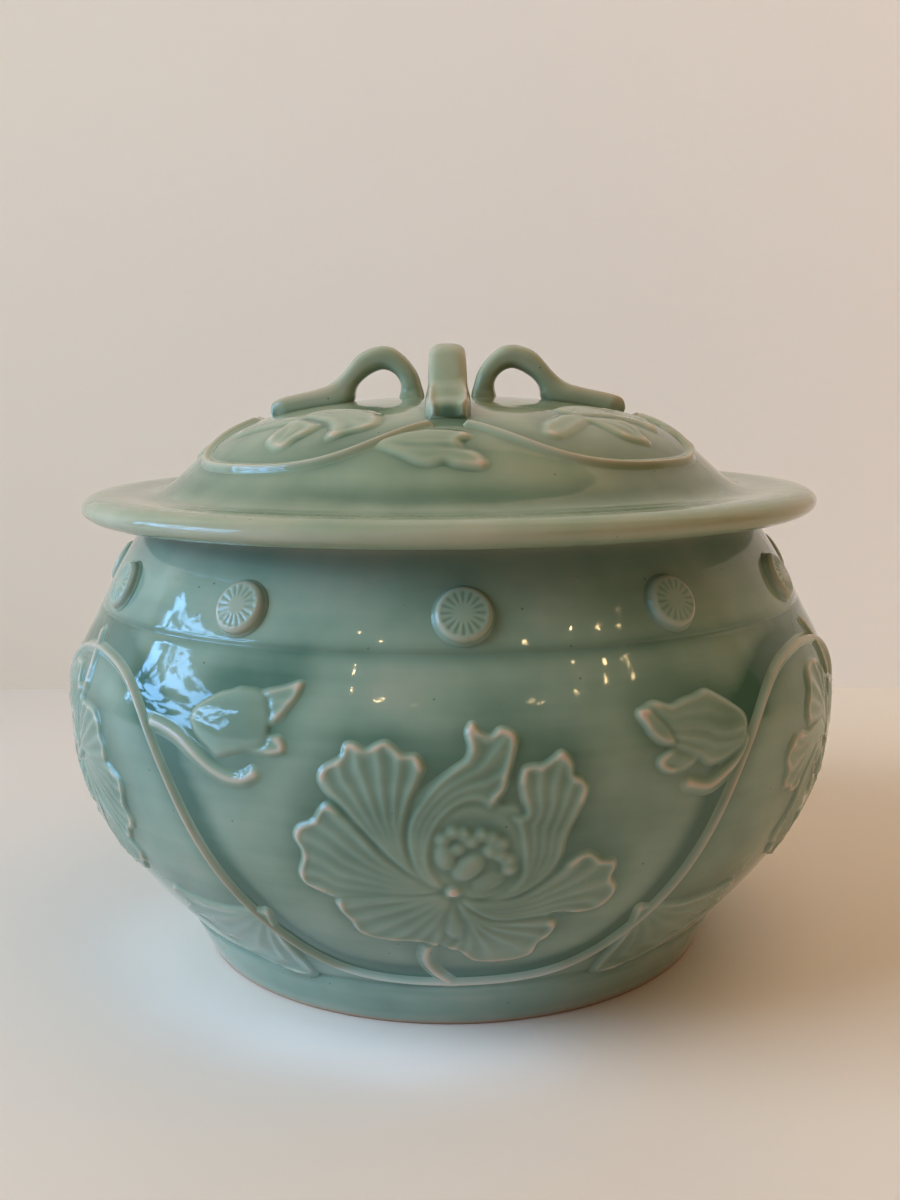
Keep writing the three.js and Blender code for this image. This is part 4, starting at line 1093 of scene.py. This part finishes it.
def rosettePiece():
    share = np.r_[np.linspace(0.03, 0.86, rosette["rings"] - 8), np.linspace(0.89, 1.0, 8)]
    angle = np.linspace(0, math.tau, rosette["sectors"], endpoint=False)
    rim = np.clip((share - rosette["edgeFrom"]) / (1 - rosette["edgeFrom"]), 0, 1)
    dome = rosette["rise"] - rosette["crown"] * share**2
    dome = dome - rosette["edge"] * (1 - np.sqrt(np.clip(1 - rim**2, 0, 1)))
    dome = dome + rosette["bead"] * bump(share - rosette["grooveTo"], rosette["beadWidth"])
    window = smoothStep((share - rosette["grooveFrom"]) / 0.2)
    window = window * smoothStep((rosette["grooveTo"] - share) / 0.1)
    wave = (0.5 + 0.5 * np.cos(rosette["grooves"] * angle)) ** rosette["grooveSharpness"]
    cut = window[:, None] * wave[None, :]
    x, y = (share[:, None] * rosette["radius"] * part(angle)[None, :] for part in (np.sin, np.cos))
    top = np.stack([x, y, dome[:, None] - rosette["grooveDepth"] * cut], -1).reshape(-1, 3)
    foot = np.vstack([np.stack([x[-1] * spread, y[-1] * spread, np.full(len(angle), level)], -1)
                      for spread, level, _ in rosette["foot"]])
    points = np.vstack([top, foot, [[0, 0, rosette["rise"]], [0, 0, rosette["foot"][-1][1]]]])
    sectors, rings = rosette["sectors"], len(share) + len(rosette["foot"])
    middle, under, last = rings * sectors, rings * sectors + 1, (rings - 1) * sectors
    caps = [(i, middle, (i + 1) % sectors) for i in range(sectors)]
    caps += [(last + i, last + (i + 1) % sectors, under) for i in range(sectors)]
    length = jarChart.lengthWhere(1, rosette["height"])
    spot = jarChart.place(0.0, length)
    out = jarChart.place(0.0, length, 1.0) - spot
    out /= np.linalg.norm(out)
    across = np.array([1.0, 0, 0])
    placed = spot + points[:, :1] * across + points[:, 1:2] * np.cross(out, across) + points[:, 2:] * out
    piece = addMesh("rosette", placed, gridFaces(rings, sectors) + caps)
    edgeTone = rosette["edgeTone"] * bump(share - 0.9, 0.1)
    tone = rosette["tone"] + edgeTone[:, None] + rosette["grooveTone"] * cut
    footTone = np.repeat([level for _, _, level in rosette["foot"]], sectors)
    setThinness(piece, np.r_[tone.ravel(), footTone, rosette["tone"], 0])
    closeUp(piece)
    return piece


rosettes = repeatedRound(rosettePiece(), "rosettes", rosetteAzimuths(), jarGlaze)
finishPiece(rosettes, "jar", [f"rosette_{i + 1:02d}" for i in range(rosette["count"])])

# The strap is one ribbon of clay: "back" is its outer line over the arch and along the tail, and "belly"
# its inner line round the finger hole and then under the dome's skin. Heights are above the dome's top.
strap = {
    "back": [(6.6, -3.2), (7.2, 0.6), (7.9, 3.2), (9.3, 7.4), (12.2, 11.4), (16, 14.4), (19.8, 15.2),
             (23.8, 14.3), (27, 12.6), (29.6, 9.9), (31.8, 7.3), (33.8, 5.4), (35.8, 4.1), (38.1, 3.1),
             (41.4, 2.1), (45.6, 1.1), (49.4, 0.1), (51.7, -0.7), (53, -1.7), (53.5, -3.2), (53.6, -4.4)],
    "belly": [(15.6, -3.2), (14.7, 0.3), (14.3, 2.1), (14.4, 4.1), (15.6, 6.2), (17.5, 7.6), (19.7, 8.1),
              (21.9, 7.5), (24.1, 6.3), (25.9, 4.9), (27.3, 3.2), (28, 1.4), (28.2, -0.4), (29.6, -2.6),
              (34, -3.6), (40, -4.4), (46, -5.8), (49.4, -6.8), (51, -7.4), (51.7, -7.7), (51.8, -7.9)],
    "width": 11, "topWidth": 10.6, "topHeight": 16, "topReach": 5.5, "tailWidth": 12.4, "tailFrom": 33,
    "tailOver": 7, "footFlare": 3.2, "footHeight": 3.6, "footRadius": 12, "around": 48, "roundness": 2.8,
    "ridge": 1.3, "ridgeAt": 0.8, "ridgeWidth": 0.2, "bellySpread": 0.1, "endFrom": 50, "endOver": 3.8,
    "endDraw": 0.2,
    "startRadius": 6, "endRadius": 53.6, "tone": 0.4, "standTone": 0.16, "edgeTone": 0.3, "grooveTone": -0.2,
    "endPoolAndShadeTone": -0.14,
}


def strapPiece():
    back, belly = (smoothLine(strap[side]) + (0, apex) for side in ("back", "belly"))
    middle, half = (back + belly) / 2, (back - belly) / 2
    r, high = back[:, 0], back[:, 1] - apex
    onTail = smoothStep((r - strap["tailFrom"]) / strap["tailOver"])
    onTop = bump(high - strap["topHeight"], strap["topReach"]) * (1 - onTail)
    inFoot = smoothStep((strap["footHeight"] - high) / 5) * (r < strap["footRadius"])
    width = strap["width"] - (strap["width"] - strap["topWidth"]) * onTop
    width = width + (strap["tailWidth"] - strap["width"]) * onTail + strap["footFlare"] * inFoot**2
    onTail = onTail[:, None]
    # Across the strap its section is a squared oval.
    angle = np.linspace(0, math.tau, strap["around"], endpoint=False)
    unitX, unitY = (np.sign(part) * np.abs(part) ** (2 / strap["roundness"])
                    for part in (np.cos(angle), np.sin(angle)))
    # Two pulled ridges run along the tail's edges with a shallow groove between them.
    pulled = bump(np.abs(unitX) - strap["ridgeAt"], strap["ridgeWidth"]) - 0.45 + 0.2 * (1 - unitX**2)
    pulled = strap["ridge"] * onTail * np.clip(unitY * 2, 0, 1) * pulled
    lift = unitY + pulled / np.linalg.norm(half, axis=1)[:, None]
    x = width[:, None] / 2 * unitX * (1 + strap["bellySpread"] * onTail * np.clip(-unitY, 0, 1))
    # The tail's end is drawn in to a rounded block with its corners taken off.
    x = x * (1 - strap["endDraw"] * smoothStep((r - strap["endFrom"]) / strap["endOver"])[:, None])
    rings = np.stack([-x, -(middle[:, :1] + half[:, :1] * lift), middle[:, 1:] + half[:, 1:] * lift], -1)
    count, corners = rings.shape[:2]
    caps = [tuple(range(corners)), tuple(range((count - 1) * corners, count * corners))]
    piece = addMesh("strap", rings.reshape(-1, 3), gridFaces(count, corners) + caps)
    closeUp(piece)
    outline = lidChart.outline[::-1]
    above = rings[:, :, 2] - np.interp(np.clip(-rings[:, :, 1], 0, 108), outline[:, 0], outline[:, 1])
    onBack = unitY > 0
    tone = strap["tone"] + strap["standTone"] * smoothStep(above / 5)
    tone = tone + strap["edgeTone"] * bump(np.abs(unitX) - 0.82, 0.14) * onBack * (0.4 + 0.6 * onTail)
    tone = tone + strap["grooveTone"] * onTail * bump(unitX, 0.45) * onBack
    # The tail's end is darker: glaze pooled there, and painted shade on the end face.
    tone = tone + strap["endPoolAndShadeTone"] * smoothStep((r - 52.6) / 0.8)[:, None]
    setThinness(piece, tone.ravel())
    return piece


straps = repeatedRound(strapPiece(), "strap_loops", (0, 90, 180, 270), lidGlaze)
finishPiece(straps, "lid", ["loop_front", "loop_right", "loop_back", "loop_left"])


# Glaze gathers round the foot of the relief and in the grooves of the turned pieces. Over the jar's vine,
# which is a ledge, the glaze that runs down stays as a broad dark band. On the lid the dome under each strap
# is darkened as well; under the open arch of the loop this is painted shade.

gather = {
    "step": 0.5, "turns": 1440, "near": 0.336, "far": 0.16, "farReach": 4.5, "under": 0.6, "underReach": 4,
    "limit": 0.28, "skin": 1.6, "vineReach": 1.4, "vineStep": 0.35, "vineHeight": 1.4, "strapGatherAndShadeHeight": 1.8,
    "band": 0.26, "bandSoft": 1.5, "bandWidth": 5, "bandFade": 6,
}


def reliefAround(chart, group, vines):
    # The height of all relief over the unrolled wall, near each place and farther round it
    rows, turns = int(chart.lengths[-1] / gather["step"]) + 2, gather["turns"]
    lengths, azimuths = np.arange(rows) * gather["step"], np.arange(turns) * math.tau / turns
    radius = chart.radius(lengths)[:, None]
    whole = np.zeros((rows, turns))
    for middle, length, left, low, sheet in reliefSheets[group]:
        column = np.round((wrapped(azimuths - middle)[None, :] * radius - left) / relief["step"]).astype(int)
        row = np.round((lengths - length - low) / relief["step"]).astype(int)
        row = np.repeat(row[:, None], turns, axis=1)
        good = (column >= 0) & (column < sheet.shape[1]) & (row >= 0) & (row < sheet.shape[0])
        whole[good] = np.maximum(whole[good], sheet[row[good], column[good]])
    reach, vineStep = gather["vineReach"], gather["vineStep"]
    for line in vines:
        spots = np.arange(len(line[0]))
        az, ln = (np.interp(np.linspace(0, spots[-1], len(spots) * 4), spots, part) for part in line)
        along = np.column_stack([np.gradient(az) * chart.radius(ln), np.gradient(ln)])
        along /= np.linalg.norm(along, axis=1)[:, None]
        for off in np.arange(-reach, reach + vineStep / 2, vineStep):
            turn = az + along[:, 1] * off / chart.radius(ln)
            column = np.round(turn / (math.tau / turns)).astype(int) % turns
            row = np.clip(np.round((ln - along[:, 0] * off) / gather["step"]).astype(int), 0, rows - 1)
            height = gather["vineHeight"] * bump(off, reach)
            whole[row, column] = np.maximum(whole[row, column], height)
    if group == "lid":
        # The dome under each strap's whole footprint counts as relief: glaze gathered at the strap's feet and
        # tail, and painted shade under the open arch.
        inFrom, inTo = (chart.lengthWhere(0, strap[end]) for end in ("startRadius", "endRadius"))
        for middle in range(4):
            across = np.abs(wrapped(azimuths - middle * math.pi / 2))[None, :] * radius
            under = (across < strap["width"] / 2) & (lengths[:, None] < inFrom) & (lengths[:, None] > inTo)
            whole[under] = np.maximum(whole[under], gather["strapGatherAndShadeHeight"])
    pad = 24
    wide = np.concatenate([whole[:, -pad:], whole, whole[:, :pad]], axis=1)
    return [softened(wide, gather["step"], spread)[:, pad:-pad]
            for spread in (relief["toneReach"], gather["farReach"])]


def shadeTurned(piece, group, vines, lines, ledge=None):
    chart = skins[group][0]
    points = pointsOf(piece)
    r, z = np.hypot(points[:, 0], points[:, 1]), points[:, 2]
    azimuth = np.arctan2(points[:, 0], -points[:, 1]) % math.tau
    nearest, length = np.full(len(points), 1e9), np.zeros(len(points))
    for (outlineRadius, outlineHeight), along in zip(chart.outline, chart.lengths):
        away = (r - outlineRadius) ** 2 + (z - outlineHeight) ** 2
        closer = away < nearest
        nearest[closer], length[closer] = away[closer], along
    near, far = reliefAround(chart, group, vines)
    last = len(near) - 1
    row = np.clip(np.round(length / gather["step"]).astype(int), 0, last)
    under = np.clip(row - int(gather["underReach"] / gather["step"]), 0, last)
    column = np.round(azimuth / math.tau * near.shape[1]).astype(int) % near.shape[1]
    thick = gather["near"] * near[row, column] + gather["far"] * far[row, column]
    thick = gather["limit"] * np.tanh((thick + gather["under"] * far[under, column]) / gather["limit"])
    if ledge is not None:
        bends, heights = ledge
        steep = np.interp(azimuth, bends, np.gradient(heights) / (np.gradient(bends) * jar["bellyRadius"]))
        above = (length - np.interp(azimuth, bends, heights)) / np.hypot(1, steep)
        fade = 1 - smoothStep((above - gather["bandWidth"]) / gather["bandFade"])
        thick += gather["band"] * smoothStep(above / gather["bandSoft"]) * fade
    tone = 0.5 - np.where(nearest < gather["skin"] ** 2, thick, 0)
    for (lineRadius, lineHeight), reachOut, amount in lines:
        tone += amount * bump(np.hypot(r - lineRadius, z - lineHeight), reachOut)
    setThinness(piece, tone)


vineLine = (np.radians(np.r_[vineAzimuths, 360.0]), np.r_[vineLengths, vineLengths[0]])
shadeTurned(jarBody, "jar", [vineLine], jar["glazeAndShadeLines"], ledge=vineLine)
finishPiece(jarBody, "jar", ["jar_body"])
shadeTurned(lidBody, "lid", lidVinePaths, lid["glazeAndShadeLines"])
finishPiece(lidBody, "lid", ["lid_shell"])
setThinness(locatingRing, np.full(len(locatingRing.data.vertices), 0.5))
finishPiece(locatingRing, "lid", ["lid_locating_ring"])
